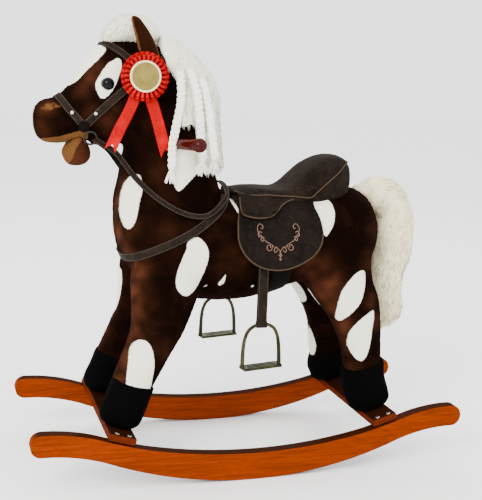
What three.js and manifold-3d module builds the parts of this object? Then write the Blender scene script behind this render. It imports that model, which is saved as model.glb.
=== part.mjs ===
// Plush rocking horse: a stuffed hide over a wooden frame, bolted to two bent rockers.
// Millimetres. X runs from head (-X) to tail (+X), the horse's left side is -Y, +Z is up.
// The origin lies on the ground, midway between the rockers, under the middle of their arc.
import * as THREE from 'three';
import { mergeVertices } from 'three/addons/utils/BufferGeometryUtils.js';
import Module from 'manifold-3d';

const wasm = await Module();
wasm.setup();

// ---------------------------------------------------------------- driving sizes

const clearance = 0.3;              // between any two pieces that touch
const sides = [-1, 1];              // left (-Y) and right (+Y)
const sideName = { '-1': 'left', '1': 'right' };

const rockerLength = 700;
const rockerSpread = 268.8;         // between the middles of the two boards
const rockerBoard = 20;             // board thickness
const rockerDepth = 41;             // height of the board at its middle
const rockerArc = 640;              // radius of the bottom edge
const rockerTopArc = 760;           // radius of the top edge
const rockerFacets = 17;            // flats along the bottom arc, odd so that one lies flat
const rockerArcReach = 238;         // half length of the true arc
const rockerTipHeight = 62;         // underside at the tip
const rockerTipDepth = 34;          // board height at the tip

const crossbarPlace = 216;          // distance of each crossbar from the middle
const crossbarSlope = Math.asin(crossbarPlace / rockerTopArc);
const crossbarWidth = 43;
const crossbarThickness = 12;
const crossbarInset = 3.4;          // from the rockers' outer faces to the crossbars' ends
const crossbarLength = rockerSpread + rockerBoard - 2 * crossbarInset;
const screwSpacing = 19;            // between the two screws at a crossbar's end
const screwShank = 4;
const screwHead = 8;
const screwLength = 32;
const boltShank = 6;
const boltHead = 14;
const boltReach = 40;               // how far a hoof bolt goes up into the leg

const hoofSpread = 84;              // hoof centre to the middle plane
const legPost = 24;                 // diameter of the wooden legs inside the plush
const railHeight = 330;             // top of the rails that join each pair of legs
const railDepth = 26;
const railThickness = 22;
const spineThickness = 16;
const spineWidth = 70;
const neckPostThickness = 20;

const handleTip = [-108.5, 131, 516.5];   // middle of the ball, on the right side
const handleRoot = [-131.5, 8, 509.5];    // end of the tenon in the neck post
const handleBall = 21.5;
const handleGrip = 17.5;            // thickest part of the grip, next to the ball
const handleWaist = 15;             // thinnest part, at the neck
const handleTenon = 12;

const strapThickness = 2.6;
const cheekStrap = 13;
const girthWidth = 34;
const girthPlace = 46;
const breastStrap = 14;
const reinWidth = 9;

const leatherWidth = 17;
const leatherPlane = 97.5;          // middle of the stirrup leathers
const leatherPlace = { '-1': 10, '1': -5 };   // each stirrup hangs where its strap is sewn
const leatherPivot = 334;           // line that the leathers swing about
const leatherTop = leatherPivot + 2;
const ironPivot = 234.5;            // axis of the iron's top bar
const ironWidth = 65;
const ironTread = 163;              // underside of the tread
const ironWire = 5;
const treadDepth = 26;
const treadThickness = 4;

const flapThickness = 4;
const skirtThickness = 5;
const flapStandOff = 99.5;          // inner face of the flaps, at their lower edge

const eyeSize = 21;
const jawHinge = { x: -262, z: 524 };
const jawOpening = THREE.MathUtils.degToRad(10);
const tailHinge = { x: 214, z: 437 };

const rosette = { x: -177, y: -60, z: 612, size: 73, button: 46, pleats: 22 };

// ---------------------------------------------------------------- tools

const rad = THREE.MathUtils.degToRad;

// A closed geometry becomes a solid for cutting and joining.
function solid(geometry) {
  const bare = geometry.clone();
  bare.deleteAttribute('normal');
  bare.deleteAttribute('uv');
  const merged = mergeVertices(bare, 1e-4);
  return new wasm.Manifold(new wasm.Mesh({
    numProp: 3,
    vertProperties: new Float32Array(merged.attributes.position.array),
    triVerts: new Uint32Array(merged.index.array),
  }));
}

function join(...pieces) {
  return pieces.reduce((all, piece) => all.add(piece));
}

function cut(piece, ...tools) {
  return tools.reduce((left, tool) => left.subtract(tool), piece);
}

// The largest of the separate lumps that a cut leaves.
function mainLump(piece) {
  return piece.decompose().sort((a, b) => b.volume() - a.volume())[0];
}

function geometryOf(piece) {
  const mesh = piece.getMesh();
  const geometry = new THREE.BufferGeometry();
  const points = new Float32Array(mesh.numVert * 3);
  for (let i = 0; i < mesh.numVert; i++) {
    points.set(mesh.vertProperties.subarray(i * mesh.numProp, i * mesh.numProp + 3), i * 3);
  }
  geometry.setAttribute('position', new THREE.BufferAttribute(points, 3));
  geometry.setIndex(Array.from(mesh.triVerts));
  geometry.computeVertexNormals();
  return geometry;
}

// Rows of numbers are blended by a smooth curve, `steps` rows to each span.
function blend(rows, steps) {
  const smooth = [];
  for (let i = 0; i < rows.length - 1; i++) {
    const [a, b, c, d] = [rows[Math.max(i - 1, 0)], rows[i], rows[i + 1],
      rows[Math.min(i + 2, rows.length - 1)]];
    for (let s = 0; s < steps; s++) {
      const t = s / steps;
      smooth.push(b.map((value, k) => 0.5 * (2 * value + (c[k] - a[k]) * t
        + (2 * a[k] - 5 * value + 4 * c[k] - d[k]) * t * t
        + (3 * value - a[k] - 3 * c[k] + d[k]) * t * t * t)));
    }
  }
  smooth.push(rows[rows.length - 1]);
  return smooth;
}

// Skins a stack of rings, each a list of the same number of points, and caps both ends.
function skin(rings) {
  const count = rings[0].length;
  const points = rings.flat();
  const faces = [];
  for (let r = 0; r < rings.length - 1; r++) {
    for (let i = 0; i < count; i++) {
      const [a, b] = [r * count + i, r * count + (i + 1) % count];
      faces.push(a, b, b + count, a, b + count, a + count);
    }
  }
  for (const [first, flip] of [[0, false], [(rings.length - 1) * count, true]]) {
    const middle = new THREE.Vector3();
    for (let i = 0; i < count; i++) middle.addScaledVector(points[first + i], 1 / count);
    points.push(middle);
    for (let i = 0; i < count; i++) {
      const [a, b] = [first + i, first + (i + 1) % count];
      faces.push(...(flip ? [a, b, points.length - 1] : [b, a, points.length - 1]));
    }
  }
  let volume = 0;
  for (let f = 0; f < faces.length; f += 3) {
    const [a, b, c] = [points[faces[f]], points[faces[f + 1]], points[faces[f + 2]]];
    volume += a.dot(b.clone().cross(c));
  }
  if (volume < 0) faces.reverse();
  const geometry = new THREE.BufferGeometry().setFromPoints(points);
  geometry.setIndex(faces);
  return solid(geometry);
}

// One oval ring: `depth` and `width` are half sizes along the tilted direction in XZ and along Y.
function oval([x, y, z, tilt, depth, width], count, squareness) {
  const along = new THREE.Vector3(Math.cos(rad(tilt)), 0, Math.sin(rad(tilt)));
  const ring = [];
  for (let i = 0; i < count; i++) {
    const angle = 2 * Math.PI * i / count;
    const [c, s] = [Math.cos(angle), Math.sin(angle)];
    const u = Math.sign(c) * Math.abs(c) ** (2 / squareness) * depth;
    const v = Math.sign(s) * Math.abs(s) ** (2 / squareness) * width;
    ring.push(new THREE.Vector3(x, y + v, z).addScaledVector(along, u));
  }
  return ring;
}

// A stuffed form through oval stations [x, y, z, tilt, half depth, half width].
function stuffed(stations, { grow = 0, growWidth = grow, count = 16, squareness = 2.2 } = {}) {
  const rows = stations.map(([x, y, z, tilt, depth, width]) =>
    [x, y, z, tilt, depth + grow, width + growWidth]);
  const last = rows.length - 1;
  for (const [end, inner] of [[0, 1], [last, last - 1]]) {
    const [endAt, innerAt] = [end, inner].map((row) => new THREE.Vector3(...rows[row].slice(0, 3)));
    const out = endAt.sub(innerAt).setLength(grow);
    rows[end] = [rows[end][0] + out.x, rows[end][1] + out.y, rows[end][2] + out.z, ...rows[end].slice(3)];
  }
  return skin(rows.map((row) => oval(row, count, squareness)));
}

// An outline of [x, z] points, drawn out along Y between two planes.
function slabAlongY(points, y0, y1) {
  const shape = new THREE.Shape(points.map(([x, z]) => new THREE.Vector2(x, z)));
  const geometry = new THREE.ExtrudeGeometry(shape, { depth: y1 - y0, bevelEnabled: false });
  geometry.rotateX(Math.PI / 2).translate(0, y1, 0);
  return solid(geometry);
}

// An outline of [y, z] points, drawn out along X between two planes.
function slabAlongX(points, x0, x1) {
  const shape = new THREE.Shape(points.map(([y, z]) => new THREE.Vector2(y, z)));
  const geometry = new THREE.ExtrudeGeometry(shape, { depth: x1 - x0, bevelEnabled: false });
  geometry.applyMatrix4(new THREE.Matrix4().makeBasis(
    new THREE.Vector3(0, 1, 0), new THREE.Vector3(0, 0, 1), new THREE.Vector3(1, 0, 0)));
  geometry.translate(x0, 0, 0);
  return solid(geometry);
}

function box(x0, x1, y0, y1, z0, z1) {
  const geometry = new THREE.BoxGeometry(x1 - x0, y1 - y0, z1 - z0);
  geometry.translate((x0 + x1) / 2, (y0 + y1) / 2, (z0 + z1) / 2);
  return solid(geometry);
}

// A round rod between two points.
function rod(from, to, radius, segments = 16) {
  const [a, b] = [new THREE.Vector3(...from), new THREE.Vector3(...to)];
  const geometry = new THREE.CylinderGeometry(radius, radius, a.distanceTo(b), segments);
  geometry.applyQuaternion(new THREE.Quaternion().setFromUnitVectors(
    new THREE.Vector3(0, 1, 0), b.clone().sub(a).normalize()));
  geometry.translate(...a.add(b).multiplyScalar(0.5).toArray());
  return solid(geometry);
}

// A turned piece from [radius, height] points, standing on `at` and pointing along `axis`.
function turned(profile, at, axis, segments = 12) {
  const geometry = new THREE.LatheGeometry(profile.map(([r, h]) => new THREE.Vector2(r, h)), segments);
  geometry.applyQuaternion(new THREE.Quaternion().setFromUnitVectors(
    new THREE.Vector3(0, 1, 0), new THREE.Vector3(...axis).normalize()));
  geometry.translate(...at);
  const piece = solid(geometry);
  if (piece.volume() > 0) return piece;
  geometry.setIndex(Array.from(geometry.index.array).reverse());
  return solid(geometry);
}

// A smooth line through [x, z] points, widened to both sides into a band's outline.
function band(points, width, steps = 3) {
  const line = blend(points, steps);
  const edge = (side) => line.map(([x, z], i) => {
    const [before, after] = [line[Math.max(i - 1, 0)], line[Math.min(i + 1, line.length - 1)]];
    const [dx, dz] = [after[0] - before[0], after[1] - before[1]];
    const length = Math.hypot(dx, dz);
    return [x - side * dz / length * width / 2, z + side * dx / length * width / 2];
  });
  return [...edge(-1), ...edge(1).reverse()];
}

// A flat strap along a curve in space; `faceOf` gives the direction its face looks at each point.
function flatStrap(points, width, thickness, faceOf, steps = 3) {
  const line = blend(points, steps).map((p) => new THREE.Vector3(...p));
  const rings = line.map((p, i) => {
    const along = line[Math.min(i + 1, line.length - 1)].clone().sub(line[Math.max(i - 1, 0)]).normalize();
    const face = faceOf(p).clone();
    face.addScaledVector(along, -face.dot(along)).normalize();
    const across = along.clone().cross(face).multiplyScalar(width / 2);
    face.multiplyScalar(thickness / 2);
    return [[1, 1], [-1, 1], [-1, -1], [1, -1]].map(([a, f]) =>
      p.clone().addScaledVector(across, a).addScaledVector(face, f));
  });
  return skin(rings);
}

// A round strand, its radius given at each point as [x, y, z, radius].
function strand(points, steps = 1, count = 8) {
  const rows = blend(points, steps);
  const rings = rows.map(([x, y, z, radius], i) => {
    const [before, after] = [rows[Math.max(i - 1, 0)], rows[Math.min(i + 1, rows.length - 1)]];
    const along = new THREE.Vector3(...after.slice(0, 3));
    along.sub(new THREE.Vector3(...before.slice(0, 3))).normalize();
    const u = new THREE.Vector3(0, 1, 0).cross(along).normalize();
    const v = along.clone().cross(u);
    return Array.from({ length: count }, (_, k) => new THREE.Vector3(x, y, z)
      .addScaledVector(u, radius * Math.cos(2 * Math.PI * k / count))
      .addScaledVector(v, radius * Math.sin(2 * Math.PI * k / count)));
  });
  return skin(rings);
}

// ---------------------------------------------------------------- materials

const finish = (color, roughness, metalness = 0) =>
  new THREE.MeshStandardMaterial({ color, roughness, metalness });
const materials = {
  rocker: finish('#b5581a', 0.35),
  crossbar: finish('#8a3f22', 0.4),
  frame: finish('#c9a878', 0.7),
  screw: finish('#c8c8c4', 0.3, 1),
  hide: finish('#3a140a', 0.95),
  black: finish('#0b0b0d', 0.95),
  cream: finish('#e6dfd0', 0.95),
  yarn: finish('#e9e8e4', 0.9),
  jaw: finish('#6b3318', 0.9),
  eye: finish('#08090c', 0.08),
  dowel: finish('#6d3a28', 0.4),
  suede: finish('#33231d', 0.85),
  leather: finish('#2b1d18', 0.6),
  iron: finish('#77715a', 0.35, 1),
  ring: finish('#b9b9b6', 0.25, 1),
  satin: finish('#e01219', 0.35),
  button: finish('#e8dfae', 0.4),
};

const horse = new THREE.Group();
function add(name, piece, material) {
  const mesh = new THREE.Mesh(geometryOf(piece), materials[material]);
  mesh.name = name;
  horse.add(mesh);
}

// ---------------------------------------------------------------- rockers

// Bent boards: a true arc underneath, a flatter arc on top, swept up to round tips.
const arcSag = (radius, x) => radius - Math.sqrt(radius * radius - x * x);
const facetHalf = rockerArcReach / rockerFacets;
const bottomOf = (x) => arcSag(rockerArc, x) - arcSag(rockerArc, facetHalf);
const topOf = (x) => rockerDepth + arcSag(rockerTopArc, x);
const crossbarSeat = crossbarWidth / 2 * Math.cos(crossbarSlope) + 1;

function rockerOutline() {
  const half = rockerLength / 2;
  const tipMiddle = rockerTipHeight + rockerTipDepth / 2;
  const underside = new THREE.Path();
  underside.moveTo(rockerArcReach, bottomOf(rockerArcReach));
  underside.quadraticCurveTo(rockerArcReach + 40, rockerTipHeight, half - 20, rockerTipHeight);
  const tip = new THREE.Path();
  tip.moveTo(half - 20, rockerTipHeight);
  tip.bezierCurveTo(half - 6, rockerTipHeight, half, tipMiddle - 12, half, tipMiddle);
  tip.bezierCurveTo(half, tipMiddle + 12, half - 6, rockerTipHeight + rockerTipDepth,
    half - 18, rockerTipHeight + rockerTipDepth);
  const shoulder = half - 67;
  tip.quadraticCurveTo(half - 40, rockerTipHeight + rockerTipDepth, shoulder, topOf(shoulder));
  const right = [];
  for (let i = 0; i < (rockerFacets - 1) / 2; i++) {
    const x = facetHalf * (2 * i + 1);
    right.push([x, bottomOf(x)]);
  }
  right.push(...underside.getPoints(4).map((p) => [p.x, p.y]));
  right.push(...tip.getPoints(3).slice(1).map((p) => [p.x, p.y]));
  const [seatEnd, seatStart] = [crossbarPlace + crossbarSeat, crossbarPlace - crossbarSeat];
  for (const x of [(shoulder + seatEnd) / 2, seatEnd, seatStart, 150, 104, 60, 20]) {
    right.push([x, topOf(x)]);
  }
  return [...right, ...right.map(([x, z]) => [-x, z]).reverse()];
}

// A point on a crossbar: s along its slope, h above its top face.
function onCrossbar(end, s, h) {
  const [c, n] = [Math.cos(crossbarSlope), Math.sin(crossbarSlope)];
  const seatHeight = (topOf(crossbarPlace - crossbarSeat) + topOf(crossbarPlace + crossbarSeat)) / 2;
  const up = clearance + crossbarThickness + h;
  return [end * (crossbarPlace + s * c - up * n), seatHeight + s * n + up * c];
}
const crossbarUp = (end) => [-end * Math.sin(crossbarSlope), 0, Math.cos(crossbarSlope)];

// Where things go through the crossbars: the screws at their ends, the bolts under the hooves.
const screwPlaces = [];
const boltPlaces = [];
for (const end of sides) {
  for (const side of sides) {
    for (const row of sides) {
      const [x, z] = onCrossbar(end, row * screwSpacing / 2, 0);
      screwPlaces.push({ end, side, row, x, y: side * rockerSpread / 2, z });
    }
    const [x, z] = onCrossbar(end, 0, 0);
    boltPlaces.push({ end, side, x, y: side * hoofSpread, z });
  }
}

function drill(end, x, y, z, diameter, below, above) {
  const [ux, , uz] = crossbarUp(end);
  return rod([x - ux * below, y, z - uz * below], [x + ux * above, y, z + uz * above],
    diameter / 2 + clearance, 8);
}

for (const side of sides) {
  const middle = side * rockerSpread / 2;
  const shape = new THREE.Shape(rockerOutline().map(([x, z]) => new THREE.Vector2(x, z)));
  const ease = 1.5;
  const geometry = new THREE.ExtrudeGeometry(shape, {
    depth: rockerBoard - 2 * ease, bevelThickness: ease, bevelSize: ease, bevelOffset: -ease,
    bevelSegments: 1,
  });
  geometry.rotateX(Math.PI / 2).translate(0, middle + rockerBoard / 2 - ease, 0);
  const holes = screwPlaces.filter((screw) => screw.side === side)
    .map((screw) => drill(screw.end, screw.x, screw.y, screw.z, screwShank, screwLength + 1, 5));
  add(`rocker_${sideName[side]}`, cut(solid(geometry), ...holes), 'rocker');
}

// ---------------------------------------------------------------- crossbars, screws and hoof bolts

for (const end of sides) {
  const ease = 2.5;
  const profile = new THREE.Shape();
  const [w, t] = [crossbarWidth / 2, crossbarThickness];
  profile.moveTo(-w, ease).lineTo(-w + ease, 0).lineTo(w - ease, 0).lineTo(w, ease);
  profile.lineTo(w, t - ease).quadraticCurveTo(w, t, w - ease, t);
  profile.lineTo(-w + ease, t).quadraticCurveTo(-w, t, -w, t - ease);
  const geometry = new THREE.ExtrudeGeometry(profile, {
    depth: crossbarLength, bevelEnabled: false, curveSegments: 2,
  });
  geometry.rotateX(Math.PI / 2).translate(0, crossbarLength / 2, 0).rotateY(-end * crossbarSlope);
  const [x, z] = onCrossbar(end, 0, -crossbarThickness);
  geometry.translate(x, 0, z);
  const holes = [
    ...screwPlaces.filter((screw) => screw.end === end)
      .map((screw) => drill(end, screw.x, screw.y, screw.z, screwShank, 20, 5)),
    ...boltPlaces.filter((bolt) => bolt.end === end)
      .map((bolt) => drill(end, bolt.x, bolt.y, bolt.z, boltShank, 20, 5)),
  ];
  add(end < 0 ? 'front_crossbar' : 'rear_crossbar', cut(solid(geometry), ...holes), 'crossbar');
}

for (const { end, side, row, x, y, z } of screwPlaces) {
  const lift = clearance;
  const profile = [[0, lift - screwLength], [screwShank / 2, lift - screwLength + 3], [screwShank / 2, lift],
    [screwHead / 2, lift], [screwHead / 2, lift + 0.8], [screwHead / 4, lift + 2.4], [0, lift + 2.6]];
  const name = `screw_${end < 0 ? 'front' : 'rear'}_${sideName[side]}_${row < 0 ? 'inner' : 'outer'}`;
  add(name, turned(profile, [x, y, z], crossbarUp(end), 6), 'screw');
}

for (const { end, side, x, y, z } of boltPlaces) {
  const base = -crossbarThickness - clearance;
  const profile = [[0, base - 5], [boltHead / 2 - 1, base - 5], [boltHead / 2, base - 4],
    [boltHead / 2, base],
    [boltShank / 2, base], [boltShank / 2, boltReach - 1], [boltShank / 2 - 1, boltReach], [0, boltReach]];
  add(`hoof_bolt_${end < 0 ? 'front' : 'rear'}_${sideName[side]}`,
    turned(profile, [x, y, z], crossbarUp(end), 8), 'screw');
}

// ---------------------------------------------------------------- wooden frame inside the plush

// Each pair of legs is two round posts glued into a rail; the legs splay outward to the hooves.
const legs = {
  front: { end: -1, top: { x: -138, y: 50 } },
  rear: { end: 1, top: { x: 163, y: 48 } },
};

function legFrame({ end, top }, grow = 0) {
  const rail = box(top.x - railDepth / 2 - grow, top.x + railDepth / 2 + grow, -top.y - legPost * 0.7 - grow,
    top.y + legPost * 0.7 + grow, railHeight - railThickness - grow, railHeight + grow);
  const posts = sides.map((side) => {
    const [x, z] = onCrossbar(end, 0, 0);
    const high = new THREE.Vector3(top.x, side * top.y, railHeight - 4);
    const foot = new THREE.Vector3(x, side * hoofSpread, z);
    const below = foot.clone().add(foot.clone().sub(high).setLength(20));
    return rod(below.toArray(), high.toArray(), legPost / 2 + grow, 10);
  });
  return join(rail, ...posts);
}

// Everything under a plane `lift` above a crossbar's top face, on that end of the horse.
function underCrossbarTop(end, lift) {
  const corners = [[-90, lift], [90, lift], [90, -90], [-90, -90]].map(([s, h]) => onCrossbar(end, s, h));
  return slabAlongY(corners, -160, 160);
}

for (const [name, leg] of Object.entries(legs)) {
  const bores = boltPlaces.filter((bolt) => bolt.end === leg.end)
    .map((bolt) => drill(bolt.end, bolt.x, bolt.y, bolt.z, boltShank, 20, boltReach + 1));
  add(`${name}_leg_frame`, cut(legFrame(leg), underCrossbarTop(leg.end, clearance), ...bores), 'frame');
}

const spineEnds = [legs.front.top.x - 18, legs.rear.top.x + 22];
const spineBoard = (grow = 0) => box(spineEnds[0] - grow, spineEnds[1] + grow, -spineWidth / 2 - grow,
  spineWidth / 2 + grow, railHeight + clearance - grow, railHeight + clearance + spineThickness + grow);
add('spine_board', spineBoard(), 'frame');

const neckFoot = railHeight + spineThickness + 2 * clearance;
const neckTop = { x: -180, z: 606 };
function neckPost(grow = 0) {
  const line = [[-112, neckFoot - grow], [-118, 430], [handleRoot[0] - 2, handleRoot[2]], [-150, 566],
    [neckTop.x, neckTop.z]];
  const plank = slabAlongY(band(line, 46 + 2 * grow, 2), -neckPostThickness / 2 - grow,
    neckPostThickness / 2 + grow);
  return cut(plank, box(-400, 400, -50, 50, 0, neckFoot - grow));
}

// Each handle is turned in one piece: a tenon, a tapered grip and a ball end.
function handle(side, grow = 0) {
  const [root, tip] = [handleRoot, handleTip].map(([x, y, z]) => new THREE.Vector3(x, side * y, z));
  const reach = root.distanceTo(tip);
  const tenonEnd = 42;
  const ball = handleBall / 2;
  const profile = [[0, 0], [handleTenon / 2 + grow, 0], [handleTenon / 2 + grow, tenonEnd - grow],
    [handleWaist / 2 + grow, tenonEnd - grow], [handleWaist / 2 + 0.6 + grow, tenonEnd + 30],
    [handleGrip / 2 + grow, reach - ball * 0.75]];
  for (const turn of [60, 85, 110, 135, 160]) {
    profile.push([(ball + grow) * Math.sin(rad(turn)), reach - (ball + grow) * Math.cos(rad(turn))]);
  }
  profile.push([0, reach + ball + grow]);
  if (grow) profile.splice(0, 1, [0, -1]);
  if (grow) profile[1][1] = -1;
  return turned(profile, root.toArray(), tip.sub(root).toArray(), 12);
}
add('neck_post', cut(neckPost(), ...sides.map((side) => handle(side, clearance))), 'frame');

// ---------------------------------------------------------------- plush hide

// Torso stations run from the chest to the rump: [x, bottom, top, half width].
const torsoStations = [
  [-207, 372, 424, 24], [-199, 338, 446, 48], [-180, 308, 456, 66], [-140, 278, 456, 80],
  [-90, 262, 446, 86], [-35, 257, 434, 88], [30, 257, 430, 88], [75, 266, 431, 88], [110, 278, 436, 89],
  [150, 284, 442, 90], [185, 292, 444, 84], [211, 304, 434, 68], [228, 322, 412, 48], [237, 345, 384, 24],
].map(([x, bottom, top, width]) => [x, 0, (bottom + top) / 2, 90, (top - bottom) / 2, width]);

const neckStations = [
  [-140, 0, 335, 0, 58, 60], [-131, 0, 385, 0, 76, 74], [-124, 0, 420, 0, 86, 74], [-124, 0, 450, 0, 80, 68],
  [-127, 0, 478, 0, 73, 62], [-126, 0, 510, 0, 67, 56], [-125, 0, 545, 0, 63, 52], [-124, 0, 580, 0, 60, 48],
  [-127, 0, 612, 0, 53, 44], [-135, 0, 642, 0, 38, 36], [-141, 0, 658, 0, 22, 24],
];

const legStations = {
  front: [[-206, 82, 86, -15, 28, 27], [-190, 80, 133, -12, 33, 31], [-171, 76, 177, -8, 36, 32],
    [-149, 69, 225, -4, 42, 35], [-139, 60, 269, 0, 51, 40], [-133, 50, 310, 0, 57, 43],
    [-130, 44, 352, 0, 50, 38]],
  rear: [[206, 82, 86, 15, 27, 27], [197, 80, 142, 10, 31, 31], [193, 75, 194, 4, 34, 33],
    [179, 66, 243, 0, 47, 38], [166, 58, 272, 0, 57, 42], [158, 51, 300, 0, 63, 45],
    [160, 45, 340, 0, 62, 45], [165, 38, 380, 0, 50, 38]],
};

const headStations = [
  [-329, 0, 538, 94, 22, 19], [-322, 0, 538, 95, 31, 28], [-309, 0, 540, 96, 35, 33],
  [-293, 0, 542, 98, 34.5, 33], [-281, 0, 546, 100, 39, 34], [-262, 0, 552, 103, 48, 37],
  [-243, 0, 565, 106, 62, 42], [-222, 0, 580, 108, 71, 47], [-203, 0, 592, 110, 75, 49],
  [-182, 0, 603, 108, 66, 47], [-157, 0, 616, 106, 50, 40], [-143, 0, 622, 105, 30, 27],
];

const onSide = (side, stations) => stations.map(([x, y, ...rest]) => [x, side * y, ...rest]);
const torso = (grow) => stuffed(torsoStations, { grow, squareness: 2.3, count: 16 });
const neck = (grow, growWidth = grow) => stuffed(neckStations, { grow, growWidth, count: 14 });
const head = (grow) => stuffed(headStations, { grow, count: 16 });
const leg = (name, side, grow) => stuffed(onSide(side, legStations[name]), { grow, count: 12 });
function hide(grow) {
  const limbs = Object.keys(legStations).flatMap((name) => sides.map((side) => leg(name, side, grow)));
  return join(torso(grow), neck(grow), ...limbs);
}

// The dock is round about the tail's hinge line, in a round seat in the croup: [x, radius].
const dock = [[196, 6], [206, 10], [218, 16], [230, 20.5], [242, 23]];
const tailSocket = turned([[0, 194], ...dock.map(([x, radius]) => [radius + 3 * clearance, x]),
  [dock[4][1] + 3 * clearance, 262], [0, 262]], [0, 0, tailHinge.z], [1, 0, 0], 16);
const hideOuter = hide(0);
const frameRoom = join(legFrame(legs.front, clearance), legFrame(legs.rear, clearance),
  spineBoard(clearance), neckPost(clearance));
const belowHooves = join(underCrossbarTop(-1, 2), underCrossbarTop(1, 2));
const handleRoom = join(...sides.map((side) => handle(side, clearance)));
add('body_plush', mainLump(cut(hideOuter, frameRoom, belowHooves, handleRoom, head(clearance), tailSocket)),
  'hide');

// ---------------------------------------------------------------- head, jaw, ears and eyes

const jawStations = [
  [-264, 0, 524, 0, 4, 17], [-267, 0, 516, 0, 11, 24], [-267.5, 0, 508, 0, 16.5, 27],
  [-268.5, 0, 497, 0, 22, 28],
  [-268, 0, 486, 0, 21, 26], [-268, 0, 478, 0, 16, 21], [-270, 0, 473.5, 0, 8, 11],
];
const jawRoom = stuffed(jawStations, { grow: 0.6, count: 12 });
const jawSwing = [0.5, 1].map((share) => rotatedAboutHinge(jawRoom, -share * jawOpening));

// Turns a solid about the jaw's hinge line; a negative angle opens the mouth.
function rotatedAboutHinge(piece, angle) {
  const geometry = geometryOf(piece);
  geometry.translate(-jawHinge.x, 0, -jawHinge.z);
  geometry.rotateY(angle).translate(jawHinge.x, 0, jawHinge.z);
  return solid(geometry);
}

const eyePlace = { x: -228, z: 599 };
function eye(side, grow = 0) {
  const r = eyeSize / 2 + grow;
  const surface = 43.5;
  const profile = [[0, -12 - grow], [2 + grow, -12 - grow], [2 + grow, -1.5], [r, -1.5 - grow], [r, 1],
    [r * 0.87, 4.5], [r * 0.5, 7.6], [0, 8.8 + grow]];
  return turned(profile, [eyePlace.x, side * surface, eyePlace.z], [-0.1, side, 0.12], 12);
}
const eyeRoom = sides.map((side) => eye(side, clearance));
const headSolid = cut(head(0), neckPost(clearance + 0.05), jawRoom, ...jawSwing, ...eyeRoom);
add('head_plush', mainLump(headSolid), 'hide');
add('lower_jaw', stuffed(jawStations, { count: 12 }), 'jaw');
for (const side of sides) add(`eye_${sideName[side]}`, eye(side), 'eye');

// Ears: pointed cups, open to the front, sewn on the poll.
for (const side of sides) {
  const stations = [[-163, 35, 645, -14, 15, 9], [-168, 36, 660, -14, 14, 9], [-175, 37, 677, -12, 11, 7.5],
    [-183, 38, 690, -10, 7, 5], [-187, 38, 698, -8, 2.5, 2]];
  const cup = [[-172, 43, 640, -14, 7, 5], [-176, 44, 660, -14, 7, 5], [-181, 44, 676, -12, 5, 4],
    [-186, 43, 690, -10, 2, 1.5]];
  const ear = cut(stuffed(onSide(side, stations), { count: 10 }), stuffed(onSide(side, cup), { count: 8 }),
    head(clearance), neck(clearance));
  add(`ear_${sideName[side]}`, mainLump(ear), 'hide');
}

// ---------------------------------------------------------------- hoof socks

// Stations on a crossbar: [height above it, shift along it, half depth, half width].
const sockStations = {
  front: [[0.5, -10, 27, 26], [7, -12.5, 33, 31], [20, -13, 38, 34], [36, -13, 38, 34], [52, -12.5, 37, 34],
    [64, -11.5, 36.5, 33.6], [69, -11.5, 35, 32.6]],
  rear: [[0.5, -2, 33, 27], [7, -3, 38, 31], [20, -4, 39, 34], [36, -3, 38, 34], [52, -1, 36.5, 34],
    [70, 3, 36, 33.8], [76, 4, 34.6, 32.8]],
};
for (const [name, { end }] of Object.entries(legs)) {
  for (const side of sides) {
    const stations = sockStations[name].map(([height, shift, depth, width]) => {
      const [x, z] = onCrossbar(end, shift, height);
      const tilt = end * THREE.MathUtils.radToDeg(crossbarSlope);
      return [x, side * (hoofSpread - height * 0.06), z, tilt, depth, width];
    });
    const sock = cut(stuffed(stations, { count: 12 }), leg(name, side, clearance),
      legFrame(legs[name], clearance), underCrossbarTop(end, clearance));
    add(`hoof_sock_${name}_${sideName[side]}`, mainLump(sock), 'black');
  }
}

// ---------------------------------------------------------------- handle

for (const side of sides) add(`handle_${sideName[side]}`, handle(side), 'dowel');

// ---------------------------------------------------------------- mane, forelock, braids and tail

const maneOutline = blend([[-158, 648], [-140, 632], [-124, 606], [-119, 560], [-117, 537], [-96, 540],
  [-90, 500], [-78, 468], [-40, 474], [-10, 520], [-10, 600], [-60, 640], [-100, 666], [-124, 680],
  [-150, 690]], 2);
const handleGap = join(...sides.map((side) => handle(side, 2)));
const mane = cut(neck(20, 9).intersect(slabAlongY(maneOutline, -150, 150)),
  hide(clearance), head(clearance), handleGap);

// Straps that lie on the horse are thin shells over it, cut to the strap's run.
const faceShell = cut(join(head(clearance + strapThickness), neck(clearance + strapThickness)),
  join(head(clearance), neck(clearance)));
const cheekLine = [[-264, 532], [-246, 551], [-222, 575], [-198, 596], [-176, 612], [-152, 626], [-136, 648],
  [-132, 700]];
const headstall = mainLump(faceShell.intersect(slabAlongY(band(cheekLine, cheekStrap, 1), -120, 120)));
const headstallRoom = join(head(strapThickness + 2 * clearance), neck(strapThickness + 2 * clearance))
  .intersect(slabAlongY(band(cheekLine, cheekStrap + 2 * clearance, 1), -120, 120));

const earsRoom = sides.map((side) => stuffed(onSide(side, [[-163, 35, 645, -14, 16, 10],
  [-168, 36, 660, -14, 15, 10], [-175, 37, 677, -12, 12, 9]]), { count: 10 }));
const forelockStations = [[-230, 0, 666, 90, 7, 10], [-220, 0, 674, 90, 17, 21], [-203, 0, 681.5, 90, 22, 27],
  [-184, 0, 681.5, 90, 23, 28], [-166, 0, 680, 90, 21, 26], [-152, 0, 677, 90, 14, 20],
  [-144, 0, 676, 90, 6, 10]];
const forelock = cut(stuffed(forelockStations, { count: 12 }), head(strapThickness + 2 * clearance),
  neck(strapThickness + 2 * clearance));
add('forelock', mainLump(cut(forelock, headstallRoom)), 'cream');
const forelockRoom = stuffed(forelockStations, { count: 12, grow: clearance });
add('mane', mainLump(cut(mane, headstallRoom, ...earsRoom, forelockRoom)), 'cream');

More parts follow.
